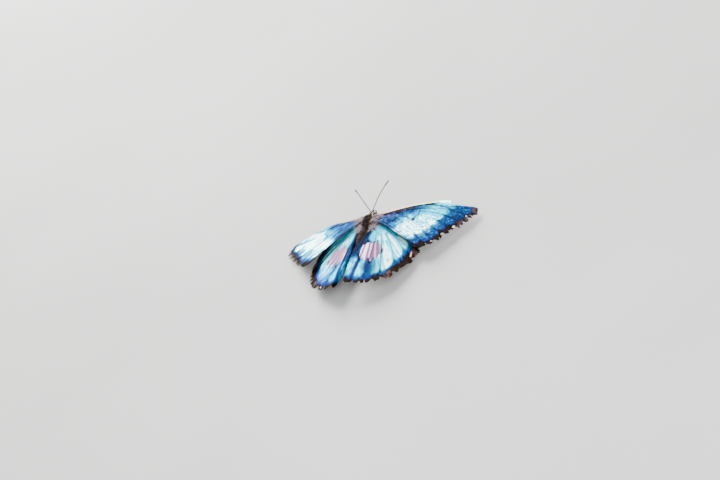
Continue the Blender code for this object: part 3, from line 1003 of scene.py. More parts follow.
    def unwrap(self, flat: np.ndarray) -> np.ndarray:
        """Lays flat places out on the bake map.

        Args:
            flat: places on the flat wing.

        Returns:
            The places as shares of a square that holds the wing.
        """
        outline = np.array(self.outline)
        low = outline.min(axis=0) - 1.0
        span = (outline.max(axis=0) - low).max() + 1.0
        return (flat - low) / span


class Pattern:
    """The colours of a wing's scales. A subclass paints one kind of wing."""

    GROUND = "#6f5340"
    LOWER_LINES = ((2.2, 0.45, "#b08d62"), (4.0, 0.35, "#a8937c"), (16.5, 0.9, "#b9a890"))  # from the margin
    EYESPOT = (
        ("#2c1c18", 1.28), ("#c9a45a", 1.12), ("#3c1d14", 0.86), ("#0b0a0c", 0.72), ("#7f95a8", 0.3),
        ("#f2f0e6", 0.17),
    )  # colours and sizes of its rings
    DEPTH = np.array([2.2, 1.72, 2.0])  # stacked ridges give purer and deeper colours than paint does

    def __init__(self, plan: WingPlan) -> None:
        """Keeps the wing's plan."""
        self.plan = plan

    def colour(self, face: Face, flat: np.ndarray) -> tuple[np.ndarray, np.ndarray]:
        """Colours one face of the wing.

        Args:
            face: which face.
            flat: places on the flat wing.

        Returns:
            Colours, and the share of the scales that the wing still has there.
        """
        if face is Face.LOWER:
            return self.lower(flat)
        colours, cover = self.upper(flat)
        return colours**self.DEPTH, cover

    def upper(self, flat: np.ndarray) -> tuple[np.ndarray, np.ndarray]:
        """Colours of the upper face and how well scales cover it."""
        raise NotImplementedError

    def lower_marks(self, paint: Paint, flat: np.ndarray) -> None:
        """Adds the marks that only one kind of wing has on its lower face."""
        raise NotImplementedError

    def polar(self, flat: np.ndarray) -> tuple[np.ndarray, np.ndarray]:
        """Distance and direction from the point that the wing's rows fan out from."""
        away = flat - np.array(self.plan.focus)
        return np.hypot(away[:, 0], away[:, 1]), np.arctan2(away[:, 1], away[:, 0])

    def streaks(self, flat: np.ndarray, width: float, length: float, seed: int) -> np.ndarray:
        """Random streaks that run along the rows of scales, from 0 to 1."""
        reach, turn = self.polar(flat)
        return noise(turn * 40.0 / width, reach / length, seed)

    def eyespots(self, paint: Paint, flat: np.ndarray, spots: list) -> None:
        """Paints eyespots: a pale pupil in black, in a yellow ring, in a dark one.

        Args:
            paint: what they are laid on.
            flat: the places that its colours belong to.
            spots: centre X and Y and radius of each.
        """
        for x, y, radius in spots:
            away = np.hypot(flat[:, 0] - x, (flat[:, 1] - y) * 0.92) / radius
            for code, size in self.EYESPOT:
                paint.lay(code, ease(size + 0.05, size - 0.05, away))

    def lower(self, flat: np.ndarray) -> tuple[np.ndarray, np.ndarray]:
        """Paints the lower face, brown with pale lines and eyespots.

        Args:
            flat: places on the flat wing.

        Returns:
            Colours, and the share of the scales that the wing still has there.
        """
        x, y = flat[:, 0], flat[:, 1]
        margin = distance_to(self.plan.margin_line, flat)
        paint = Paint(self.GROUND, len(flat))
        paint.lay("#3a2a22", self.streaks(flat, 2.0, 9.0, 31) * 0.7)
        paint.lay("#8b6b4f", 0.5 * ease(0.55, 0.8, noise(x / 3.1, y / 3.1, 33)))
        wobble = 0.8 * (noise(x / 4.0, y / 4.0, 35) - 0.5)
        for centre, half, code in self.LOWER_LINES:
            paint.lay(code, 0.8 * ease(half + 0.35, half - 0.15, np.abs(margin - centre + wobble)))
        self.lower_marks(paint, flat)
        return paint.rows, np.full(len(flat), 0.97)


class ForewingPattern(Pattern):
    """Azure at the root, a pale middle with painted glare, azure again, and a torn brown border."""

    def upper(self, flat: np.ndarray) -> tuple[np.ndarray, np.ndarray]:
        """Paints the upper face.

        Args:
            flat: places on the flat wing.

        Returns:
            Colours, and the share of the scales that the wing still has there.
        """
        left = self.plan.side is Side.LEFT
        x, y = flat[:, 0], flat[:, 1]
        margin = distance_to(self.plan.margin_line, flat)
        veins = self.plan.vein_distance(flat)
        fine, long = self.streaks(flat, 1.0, 7.0, 1), self.streaks(flat, 1.8, 14.0, 2)
        clouds, specks, dots = (noise(x / a, y / a, seed) for a, seed in ((4.0, 3), (0.75, 12), (1.5, 13)))
        grain = fine if left else specks
        wobble = (clouds - 0.5) * 4.0 + (dots - 0.5) * 4.0

        paint = Paint("#005888", len(flat))
        paint.lay("#0074aa", 0.9 * ease(0.4, 0.75, dots))
        paint.lay("#0894c6", 0.75 * ease(0.62, 0.85, grain))
        paint.lay("#00406a", 0.85 * ease(0.36, 0.16, grain))

        # the pale middle is a painted highlight for the glare off the blue scales; it starts beyond the azure
        # root, sooner behind the cell, and ends at an azure band
        edge = x - (23.5 + 0.15 * y if left else 20.5 + 0.5 * y) + wobble
        border = np.interp(y, [-12.0, 0.0, 10.0, 18.0, 24.0, 28.0], [4.0, 4.6, 5.6, 4.8, 3.8, 3.4])
        arches = 1.6 * np.exp(-((veins / 0.9) ** 2))
        outer = margin - border - (2.4 if left else 6.6 + 3.0 * ease(5.0, 14.0, y)) + wobble * 0.7 - arches
        inner_share = ease(-1.0, 6.0, edge)
        pale = inner_share * ease(-3.5, 2.0, outer)
        paint.lay("#04a4cc", 0.8 * ease(-6.0, 1.0, edge) * ease(-6.0, 0.0, outer))
        paint.lay("#3ccfe6", 0.92 * pale)
        low = ease(16.0, 5.0, y) if not left else np.ones(len(flat))
        # painted highlight: the white glare off the blue scales
        painted_glare = pale * ease(0.3, 0.68, 0.45 * clouds + 0.35 * long + 0.35 * low * (1.0 if left else 0.75))
        paint.lay("#eafffe", painted_glare * (0.45 + 0.55 * low))
        # azure and teal specks where single scales are lost or tilted
        paint.lay("#1aaed0", pale * 0.9 * ease(0.52, 0.74, grain))
        paint.lay("#047a9e", pale * (0.35 if left else 0.7) * ease(0.68, 0.84, 0.5 * grain + 0.5 * dots))
        paint.lay("#ffffff", 0.8 * painted_glare * low * ease(0.42, 0.2, grain))
        # lilac cast along the inner edge
        lilac = ease(-2.0, -6.5, y + 0.16 * (x - 24.0)) * ease(18.0, 24.0, x)
        lilac = lilac * ease(0.0, 4.0, margin - border)
        paint.lay("#c4b8ee", (0.2 if left else 0.55) * lilac * ease(0.35, 0.7, dots))
        # outer azure band
        band = ease(2.5, -2.0, outer) * inner_share
        paint.lay("#005e92", 0.85 * band)
        paint.lay("#0898ca", 0.7 * band * ease(0.55, 0.8, grain))
        paint.lay("#003f6c", 0.7 * band * ease(0.52, 0.8, clouds + 0.3 * (dots - 0.5)))

        # dark marks: at the end of the cell and along the front edge
        cell_mark = ease(1.6, 0.6, np.hypot((x - 28.0) / 1.3, (y - 5.2) / 1.0))
        costal = distance_to(np.array([(27.5, 18.6), (31.0, 20.2), (36.0, 20.6), (45.0, 21.2)]), flat)
        paint.lay("#0a3f78", (0.4 if left else 0.9) * cell_mark)
        if not left:
            paint.lay("#0c1640", 0.95 * ease(1.5, 0.5, costal) * ease(36.0, 31.0, x) * ease(26.0, 29.0, x))
            paint.lay("#1f5591", 0.8 * ease(0.6, 0.2, costal) * ease(29.0, 32.0, x))
            purple = np.hypot((x - 44.5) / 1.8, (y + 1.5) / 1.6)
            paint.lay("#403a8c", 0.7 * ease(1.2, 0.4, purple))

        # maroon band behind the front edge, from the root outwards
        front = np.interp(x, *np.array(RIGHT_COSTA if not left else LEFT_COSTA)[:7].T) - y
        band_width = np.interp(x, [0.0, 8.0, 14.0, 24.0, 29.0], [1.6, 4.8, 5.6, 3.4, 0.6])
        maroon = ease(0.8, -0.8, front - band_width + (dots - 0.5) * 1.6) * ease(30.0, 24.0, x)
        if left:
            maroon = maroon * ease(10.0, 4.0, x)
        paint.lay("#6a2f44", maroon * (0.96 if not left else 0.7))
        paint.lay("#9a80c0", 0.75 * maroon * ease(0.5, 0.8, specks))
        paint.lay("#004a80", 0.75 * maroon * ease(17.0, 25.0, x))
        root = ease(8.5, 2.0, x + 0.5 * np.abs(y))
        paint.lay("#6c4650", 0.85 * root)
        paint.lay("#c9a9a0", 0.7 * root * ease(0.55, 0.8, fine))

        # a pale bare line along the back of the cell
        line = distance_to(self.plan.vein_lines["cell back"], flat)
        line_share = ease(0.75, 0.3, line) * ease(3.0, 6.0, x) * ease(23.0, 17.0, x)
        paint.lay("#a59ad6", (0.3 if left else 0.85) * line_share)

        # veins are thin dark lines, faint in the pale middle
        paint.lay("#003858", 0.75 * ease(0.42, 0.12, veins) * (1.0 - 0.6 * painted_glare))

        # brown border, violet where it meets the blue, with pale spots between the veins
        rim = border + (long - 0.5) * 2.4 + (dots - 0.5) * 2.0
        paint.lay("#343a90", 0.8 * ease(2.4, 0.2, margin - rim))
        brown = ease(0.9, -0.5, margin - rim)
        paint.lay("#542a2c", brown)
        paint.lay("#1e0e12", 0.9 * brown * ease(2.6, 1.0, margin + (dots - 0.5)))
        paint.lay("#7d5068", 0.5 * brown * ease(0.5, 0.8, dots) * ease(1.8, 3.4, margin))
        paint.lay("#8c6a80", 0.7 * brown * ease(53.0, 57.0, x) * ease(0.25, 0.6, dots))
        for spot_x, spot_y, wide, high in (
            (54.9, 10.1, 1.0, 1.5), (52.4, 1.9, 0.8, 1.0), (49.8, -5.3, 0.7, 0.9), (57.4, 20.0, 0.6, 0.75),
            (48.2, -8.6, 0.4, 0.5),
        ):
            away = np.hypot((x - spot_x) / wide, (y - spot_y) / high)
            paint.lay("#0b0506", 0.8 * ease(2.4, 1.3, away))
            paint.lay("#bf9cac", (0.8 if not left else 0.5) * ease(1.15, 0.6, away))
            paint.lay("#f4e9e0", (0.8 if spot_x > 54.0 and not left else 0.3) * ease(0.75, 0.3, away))

        # painted shade: a navy line along the edge that overhangs the hindwing stands in for the shadowed gap
        # beneath it
        inner = distance_to(self.plan.inner_line, flat)
        paint.lay("#061434", 0.9 * ease(1.1, 0.5, inner) * ease(4.0, 9.0, x))

        # cream front edge
        cream = ease(1.15, 0.75, front) * ease(43.0, 41.0, x) * ease(0.5, 3.5, x)
        paint.lay("#ecdcbe" if not left else "#c9aaa4", cream * (1.0 if not left else ease(22.0, 14.0, x)))
        if not left:
            paint.lay("#f6f6f4", ease(2.4, 1.2, front) * ease(34.0, 37.0, x) * ease(43.0, 41.5, x))
        cover = 1.0 - 0.55 * ease(0.74, 0.9, fine) * pale
        cover = cover * (1.0 - 0.5 * maroon * ease(0.6, 0.9, fine))
        return paint.rows, cover

    def lower_marks(self, paint: Paint, flat: np.ndarray) -> None:
        """Adds a dark inner edge, and three eyespots near the outer margin."""
        paint.lay("#17121a", 0.9 * ease(1.1, 0.5, distance_to(self.plan.inner_line, flat)))
        self.eyespots(paint, flat, [(48.5, 17.5, 2.3), (47.0, 6.0, 3.4), (43.5, -2.0, 3.0)])


class HindwingPattern(Pattern):
    """Pale rays between the veins with painted glare, a bald lilac patch, deep blue behind it and a brown
    border.
    """

    def patch_share(self, flat: np.ndarray) -> tuple[np.ndarray, np.ndarray]:
        """The bald patch.

        Args:
            flat: places on the flat wing.

        Returns:
            Its share at each place, and how near its rim each place is, both from 0 to 1.
        """
        left = self.plan.side is Side.LEFT
        tall = 8.6
        centre, wide, lean = ((16.3, -21.0), 7.4, 0.14) if left else ((12.6, -22.6), 6.4, 0.36)
        x, y = flat[:, 0] - centre[0], flat[:, 1] - centre[1]
        x, y = x * math.cos(lean) + y * math.sin(lean), -x * math.sin(lean) + y * math.cos(lean)
        jagged = -4.5 * (1.0 - np.abs(np.sin(math.pi * x / 3.4 + 0.5))) * ease(0.0, -6.0, y)
        jagged = jagged + (self.streaks(flat, 0.4, 12.0, 42) - 0.5) * 1.2
        jagged = jagged + (self.streaks(flat, 2.6, 60.0, 41) - 0.5) * 3.0
        reach = (np.abs(x / wide) ** 2.8 + np.abs((y + jagged) / tall) ** 2.8) ** (1 / 2.8)
        return ease(1.04, 0.96, reach), ease(1.3, 1.08, reach) * ease(0.9, 1.0, reach)

    def upper(self, flat: np.ndarray) -> tuple[np.ndarray, np.ndarray]:
        """Paints the upper face.

        Args:
            flat: places on the flat wing.

        Returns:
            Colours, and the share of the scales that the wing still has there.
        """
        left = self.plan.side is Side.LEFT
        x, y = flat[:, 0], flat[:, 1]
        margin = distance_to(self.plan.margin_line, flat)
        veins = self.plan.vein_distance(flat)
        reach, turn = self.polar(flat)
        fine, long = self.streaks(flat, 0.6, 4.5, 1), self.streaks(flat, 1.2, 14.0, 2)
        clouds, specks, dots = (noise(x / a, y / a, seed) for a, seed in ((4.0, 3), (0.8, 12), (1.6, 13)))
        wobble = (clouds - 0.5) * 2.5 + (long - 0.5) * 3.0

        paint = Paint("#006c9c", len(flat))
        paint.lay("#004f7e", 0.9 * ease(0.45, 0.8, long))
        paint.lay("#0a9ccc", 0.8 * ease(0.6, 0.85, 0.5 * fine + 0.5 * specks))

        # pale rays fill the front half, brightest between the veins and round at their ends; they are a
        # painted highlight for the glare off the blue scales
        border = np.interp(turn, [-1.5, -1.1, -0.6, -0.1, 0.3], [3.4, 4.2, 6.4, 5.6, 3.2])
        front = ease(-0.02, 0.2, turn + 1.12 + (0.12 if left else 0.0) + (long - 0.5) * 0.12)
        start = ease(8.0, 16.0, reach + wobble)
        arches = 3.0 * np.exp(-((veins / 1.1) ** 2))
        stop = ease(2.0, 4.4, margin - border + wobble * 0.3 - arches)
        pale = front * start * stop
        paint.lay("#0cd6ea", ease(3.0, 7.5, reach) * front * ease(0.0, 3.0, margin - border) * 0.95)
        between = ease(0.15, 1.1, veins)
        paint.lay("#3ccde6", pale * (0.35 + 0.6 * between))
        inward = ease(24.0, 14.0, reach + 2.0 * wobble)
        # painted highlight: white glare between the veins
        painted_glare = pale * between * ease(0.16, 0.52, clouds * 0.4 + long * 0.6 - 0.25 * inward)
        paint.lay("#f3fdfb", 0.95 * painted_glare)
        paint.lay("#1a9cc4", (0.8 if left else 0.5) * pale * ease(0.64, 0.84, fine))
        paint.lay("#06607c", 0.7 * pale * ease(0.78, 0.88, 0.5 * dots + 0.5 * fine))

        if left:  # the band that the forewing overhangs
            # painted light: this band is lightened to offset the shadow that the forewing casts on it
            painted_light_hem = distance_to(np.array([(8.0, 1.0), (20.0, 0.6), (30.0, -4.0), (38.0, -11.0)]), flat)
            paint.lay("#b4f8ff", 0.92 * ease(7.0, 3.0, painted_light_hem) * ease(0.2, 0.5, long) * stop)

        # behind the patch: deep blue, with a painted highlight, a bright cyan and white pool of glare, near
        # the tail corner
        behind = ease(0.1, -0.1, turn + 1.1)
        low = behind * ease(24.0, 32.0, reach)
        paint.lay("#006698", 0.8 * low)
        paint.lay("#003a60", 0.6 * low * ease(0.5, 0.78, 0.6 * long + 0.4 * dots))
        # painted highlight: the pool of glare near the tail corner
        glare_pool_centre = (12.2, -40.5) if left else (11.0, -38.8)
        glare_pool = np.hypot((x - glare_pool_centre[0] + 0.3 * (y - glare_pool_centre[1])) / 5.2, (y - glare_pool_centre[1]) / 9.0)
        paint.lay("#1cd4ee", 0.95 * ease(1.5, 0.85, glare_pool + 0.5 * (clouds - 0.5)))
        paint.lay("#d2f6f8", 0.95 * ease(1.1, 0.5, glare_pool + 0.6 * (dots - 0.5)) * (0.4 if left else 0.75))
        # azure streaks towards the tail corner
        tail = ease(26.0, 34.0, reach) * ease(-0.6, -0.9, turn) if left else low * ease(1.4, 0.9, glare_pool)
        paint.lay("#0894c8", (0.85 if left else 0.6) * tail * ease(0.34, 0.66, 0.6 * fine + 0.4 * dots))

        # the inner edge is deep blue, its own colour deepened by painted shade of the abdomen, and painted
        # darker still as the abdomen's shadow beside the body
        inner = distance_to(self.plan.vein_lines["anal 2"], flat)
        fold = ease(3.4, 0.8, x + 0.08 * y * (y < -24.0))
        paint.lay("#004474", 0.85 * ease(5.0, 2.5, x - 0.02 * np.abs(y)) * ease(-30.0, -24.0, y))
        # painted shadow of the abdomen, beside the body
        paint.lay("#0b1030", 0.85 * fold * ease(-15.0, -10.0, y))
        paint.lay("#5b3a8c", 0.8 * ease(1.6, 0.4, inner - 0.3) * ease(-22.0, -29.0, y))
        beside = np.hypot((x - 7.6 + 0.15 * (y + 8.0)) / 3.4, (y + 7.6) / 6.4) + 0.5 * (clouds - 0.5)
        paint.lay("#10d8ec", (0.4 if left else 0.9) * ease(1.15, 0.65, beside))

        # azure band before the border
        band = ease(4.0, 1.8, margin - border + wobble * 0.3 - 0.6 * arches) * ease(0.2, 0.6, front + low)
        paint.lay("#006ea4", 0.85 * band)
        paint.lay("#004074", 0.8 * band * ease(0.45, 0.8, 0.5 * long + 0.5 * dots))
        if left:
            dark = ease(0.6, 0.78, self.streaks(flat, 1.6, 5.0, 6)) * ease(26.0, 30.0, x)
            dark = dark * ease(-24.0, -19.0, y)
            paint.lay("#07465e", 0.85 * dark)
            cast = ease(19.0, 23.0, x) * ease(-25.0, -31.0, y)
            paint.lay("#8680d6", 0.8 * cast * ease(0.3, 0.7, long))

        # veins
        paint.lay("#08608a", (0.75 - 0.35 * pale) * ease(0.34, 0.1, veins))

        # bald lilac patch with a navy rim
        bald, rim = self.patch_share(flat)
        paint.lay("#041c56", 0.9 * rim * ease(0.3, 0.6, clouds + 0.4 * (long - 0.5)))
        # painted light and shade of the bare membrane's pleats: pale pink and white streaks for the lit
        # lobes, mauve streaks for the shade between them
        skin = Paint("#dcacd6", len(flat))
        wide = self.streaks(flat, 2.0, 30.0, 43)
        skin.lay("#fbdcf2", ease(0.4, 0.7, wide))
        skin.lay("#fff2fa", 0.85 * ease(0.5, 0.8, fine) * ease(0.4, 0.7, wide))
        skin.lay("#94528e", 0.85 * ease(0.42, 0.24, wide))
        skin.lay("#4c2258", 0.9 * ease(0.7, 0.2, veins))
        paint.lay(skin.rows, bald)

        # torn brown border with tan tabs and pale spots
        edge = border + (long - 0.5) * 2.2 + (dots - 0.5) * 1.6
        paint.lay("#363884", 0.8 * ease(2.2, 0.1, margin - edge))
        brown = ease(0.8, -0.5, margin - edge)
        tan = noise(turn * 9.0, np.zeros(len(x)), 8)
        paint.lay("#64362a", brown)
        paint.lay("#2a1514", 0.9 * brown * ease(2.6, 0.6, margin) * ease(0.65, 0.4, tan))
        paint.lay("#98707f", 0.85 * brown * ease(0.58, 0.8, tan + 0.4 * (dots - 0.5)))
        spots = [
            (30.6, -40.4, 1.0, 0.8), (36.6, -15.6, 0.55, 2.6),
            (34.2, -38.0, 0.8, 1.6), (24.6, -44.2, 0.7, 0.7),
        ]
        for spot_x, spot_y, across, high in spots[:2] if not left else spots[2:]:
            lean = (x - spot_x) + 0.35 * (y - spot_y) * (high > 1.0)
            away = np.hypot(lean / across, (y - spot_y) / high)
            paint.lay("#ecd0d4", 0.95 * ease(1.15, 0.5, away))

        root = ease(5.0, 1.2, np.hypot(x, y - 1.0))
        paint.lay("#3f2a38", 0.8 * root)
        cover = 1.0 - 0.985 * bald
        cover = cover * (1.0 - 0.5 * ease(0.76, 0.9, fine) * pale)
        return paint.rows, cover

    def lower_marks(self, paint: Paint, flat: np.ndarray) -> None:
        """Adds a row of eyespots, and one near the front edge."""
        self.eyespots(paint, flat, [
            (27.0, 1.0, 3.6), (29.5, -18.0, 3.0), (26.0, -27.5, 3.4), (20.5, -36.5, 3.0), (14.5, -42.0, 2.2),
        ])


@dataclass
class Wing:
    """A wing: its membrane, veins, scales on both faces, and fringe."""

    plan: WingPlan
    pattern: Pattern
    skin_step: float = 0.5  # spacing of the membrane's points
    membrane_half: float = 0.07  # half of its thickness
    row_step: float = 0.3
    in_row_step: float = 0.27
    scale_size: tuple = (0.42, 0.62, 0.55)  # real scales are 0.2 mm long, too fine to show
    fringe_size: tuple = (0.2, 0.85, 0.2)
    hair_size: tuple = (0.12, 1.0, 1.0)
    hair_tries: int = 1500
    vein_radii: tuple = (0.15, 0.07)  # at the root and 60 mm out

    def __post_init__(self) -> None:
        """Cuts the worn outline."""
        self.outline = self.plan.worn_outline(margin_step=0.3, edge_step=1.1)

    def build(self) -> None:
        """Makes and dresses every piece of the wing."""
        self.build_membrane()
        self.build_veins()
        for face in Face:
            self.build_scales(face)
        self.build_fringe()
        self.build_root_hair()

    def build_root_hair(self) -> None:
        """Pale hairs that run from the thorax out along the base of the wing."""
        random = np.random.default_rng(23)
        flat = random_rows(random, self.hair_tries, (-1.6, 9.0), (-9.0, 6.0))
        reach = np.hypot(flat[:, 0] + 1.0, flat[:, 1])
        kept = inside(self.outline, flat) & (random.uniform(size=len(flat)) < ease(8.5, 2.0, reach))
        flat = flat[kept]
        count = len(flat)
        lift = self.plan.pleats(flat, self.plan.vein_distance(flat)) + self.membrane_half
        roots, normal = self.plan.place(flat, lift)
        heading = unit(flat - np.array([-3.0, 2.0 if self.plan.tucked else 0.3]))
        ahead, _ = self.plan.place(flat + heading * 0.3, lift)
        lie = unit(ahead - roots) + random.normal(0.0, 0.08, roots.shape)
        tint = Paint("#4b3540", count)
        tint.lay("#e6c8bd", random.uniform(0.0, 1.0, count) ** 1.5)
        tint.lay("#2f5fa8", 0.6 * (random.uniform(size=count) < 0.25))
        size = random_rows(random, count, (0.6, 1.1), (1.2, 3.0), (0.25, 0.55))
        coat = Coat(f"root_hair_{self.plan.node}", HAIR_VANE, HAIR, *self.hair_size)
        join_frame(coat.build(roots, normal, lie, size, tint.rows, self.plan.unwrap(flat)), Slot.WING)

    def flat_net(self) -> tuple[np.ndarray, np.ndarray]:
        """Fills the worn outline with even triangles.

        Returns:
            Flat places, and the place numbers of each triangle, all anticlockwise.
        """
        outline, step = self.outline, self.skin_step
        low, high = outline.min(axis=0), outline.max(axis=0)
        grid = np.array([
            (x, y)
            for row, y in enumerate(np.arange(low[1], high[1], step * 0.87))
            for x in np.arange(low[0] + (row % 2) * step / 2, high[0], step)
        ])
        grid = grid[inside(outline, grid)]
        grid = grid[distance_to(np.concatenate([outline, outline[:1]]), grid) > step * 0.4]
        count = len(outline)
        loop = [(i, (i + 1) % count) for i in range(count)]
        corners = [Vector(p) for p in np.concatenate([outline, grid])]
        verts, _, faces, *_ = delaunay_2d_cdt(corners, loop, [list(range(count))], 1, 1e-5)
        flat, faces = np.array([v[:] for v in verts]), np.array(faces)
        a, b, c = (flat[faces[:, k]] for k in range(3))
        turn = (b - a)[:, 0] * (c - a)[:, 1] - (b - a)[:, 1] * (c - a)[:, 0]
        faces[turn < 0] = faces[turn < 0][:, ::-1]
        return flat, faces

    def build_membrane(self) -> None:
        """The thin plate that stands for the wing's solid."""
        flat, faces = self.flat_net()
        lift = self.plan.pleats(flat, self.plan.vein_distance(flat))
        upper, lower = (self.plan.place(flat, lift + face.value * self.membrane_half)[0] for face in Face)
        if self.plan.side is Side.LEFT:
            faces = faces[:, ::-1]
        edges = {(f[k], f[(k + 1) % 3]) for f in faces.tolist() for k in range(3)}
        rim = [(i, j) for i, j in sorted(edges) if (j, i) not in edges]
        n = len(flat)
        solid = faces.tolist() + (faces[:, ::-1] + n).tolist() + [[i, i + n, j + n, j] for i, j in rim]
        piece = mesh_object(f"membrane_{self.plan.node}", np.concatenate([upper, lower]), solid)
        tint = np.concatenate([self.pattern.colour(face, flat)[0] for face in Face])
        write_attribute(piece.data, "tint", "FLOAT_COLOR", opaque(tint))
        piece.data.materials.append(MEMBRANE.build())
        join_frame(piece, Slot.WING, self.plan.node)

    def build_veins(self) -> None:
        """Ribs that taper from the root to the margin."""
        paths, radii, tints = [], [], []
        for keys in self.plan.veins.values():
            line = smooth_through(keys, 10)
            kept = inside(self.outline, line)
            if not kept[3:].all():  # it ends at the first tear
                line = line[: 3 + int(np.argmin(kept[3:]))]
            if len(line) < 4:
                continue
            radius = np.interp(np.hypot(line[:, 0], line[:, 1]), (0.0, 60.0), self.vein_radii)
            middle, _ = self.plan.place(line, 0.03)
            colour = self.pattern.colour(Face.UPPER, line)[0]
            if np.hypot(*line[0]) < 1.5:  # it runs on into the thorax
                inner = in_frame(np.array(self.plan.hinge) * (0.2, 0.8, 0.5), self.plan.side, BODY_HEIGHT)
                middle = np.vstack([inner, middle])
                radius, colour = np.append(radius[0], radius), np.vstack([colour[0], colour])
            paths.append(middle)
            radii.append(radius)
            tints.append(mix(colour * 0.6, "#1a1c30", np.full(len(colour), 0.1)))
        veins = Rod(f"veins_{self.plan.node}", VEIN, 6).build(paths, radii, tints)
        join_frame(veins, Slot.WING)

    def scale_roots(self, seed: int) -> tuple[np.ndarray, np.random.Generator]:
        """Scatters scale roots in staggered rows that fan out from the wing's root.

        Args:
            seed: which of the random patterns.

        Returns:
            Flat places, and the generator that draws the rest of the coat.
        """
        random = np.random.default_rng(seed)
        focus = np.array(self.plan.focus)
        away = np.array(self.plan.outline) - focus
        reach, turn = np.hypot(away[:, 0], away[:, 1]), np.arctan2(away[:, 1], away[:, 0])
        rows = []
        for number, radius in enumerate(np.arange(1.0, reach.max(), self.row_step)):
            step = self.in_row_step / radius
            turns = np.arange(turn.min() - step, turn.max() + step, step) + (number % 2) * step / 2
            rows.append(np.stack([radius * np.cos(turns), radius * np.sin(turns)], axis=1))
        flat = np.concatenate(rows) + focus
        flat += random.normal(0.0, 0.04, flat.shape)
        return flat[inside(self.outline, flat)], random

    def build_scales(self, face: Face) -> None:
        """Rows of overlapping scales.

        Args:
            face: the face that they cover.
        """
        flat, random = self.scale_roots(7 if face is Face.UPPER else 8)
        tint, cover = self.pattern.colour(face, flat)
        kept = random.uniform(size=len(flat)) < cover
        flat, tint = flat[kept], tint[kept]
        away = self.plan.vein_distance(flat)
        lift = self.plan.pleats(flat, away) + 0.1 * np.exp(-((away / 0.16) ** 2)) * face.value
        roots, normal = self.plan.place(flat, lift + face.value * (self.membrane_half + 0.005))
        ahead, _ = self.plan.place(flat + self.plan.lie(flat) * 0.2, lift + face.value * self.membrane_half)
        up = normal * face.value
        lie = unit(ahead - roots) + random.normal(0.0, 0.06, roots.shape)
        up = unit(up + random.normal(0.0, 0.05, up.shape))
        tint = tint * random.normal(1.0, 0.09, (len(flat), 1)) * random.normal(1.0, 0.02, (len(flat), 3))
        size = random.uniform(0.82, 1.15, (len(flat), 3))
        name = f"scales_{face.name.lower()}_{self.plan.node}"
        coat = Coat(name, SCALE_VANE, SCALE_COAT, *self.scale_size)
        join_frame(coat.build(roots, up, lie, size, tint, self.plan.unwrap(flat)), Slot.WING)

    def build_fringe(self) -> None:
        """Long narrow scales along the torn edge."""
        random = np.random.default_rng(17)
        edge = self.plan.worn_outline(margin_step=0.12, edge_step=0.3)
        along = unit(np.roll(edge, -1, axis=0) - np.roll(edge, 1, axis=0))
        outwards = np.stack([-along[:, 1], along[:, 0]], axis=1)
        margin = distance_to(self.plan.margin_line, edge)
        kept = (margin < 5.5) & (random.uniform(size=len(edge)) < 0.8)
        flat, outwards = edge[kept], outwards[kept]
        radial = self.plan.lie(flat)
        heading = unit(outwards * 0.5 + radial + random.normal(0.0, 0.22, flat.shape))
        flat = flat - heading * 0.35
        lift = self.plan.pleats(flat, self.plan.vein_distance(flat)) + random.normal(0.0, 0.03, len(flat))
        roots, normal = self.plan.place(flat, lift)
        ahead, _ = self.plan.place(flat + heading * 0.3, lift)
        tint = self.pattern.colour(Face.UPPER, flat)[0]
        tint = mix(tint, "#c7b09a", 0.85 * (random.uniform(size=len(flat)) < 0.12))
        size = np.stack([
            random.uniform(0.7, 1.3, len(flat)), random.gamma(4.0, 0.25, len(flat)).clip(0.4, 2.2),
            random.uniform(0.4, 1.0, len(flat)),
        ], axis=1)
        coat = Coat(f"fringe_{self.plan.node}", SCALE_VANE, HAIR, *self.fringe_size)
        piece = coat.build(roots, normal, unit(ahead - roots), size, tint, self.plan.unwrap(flat))
        join_frame(piece, Slot.WING)


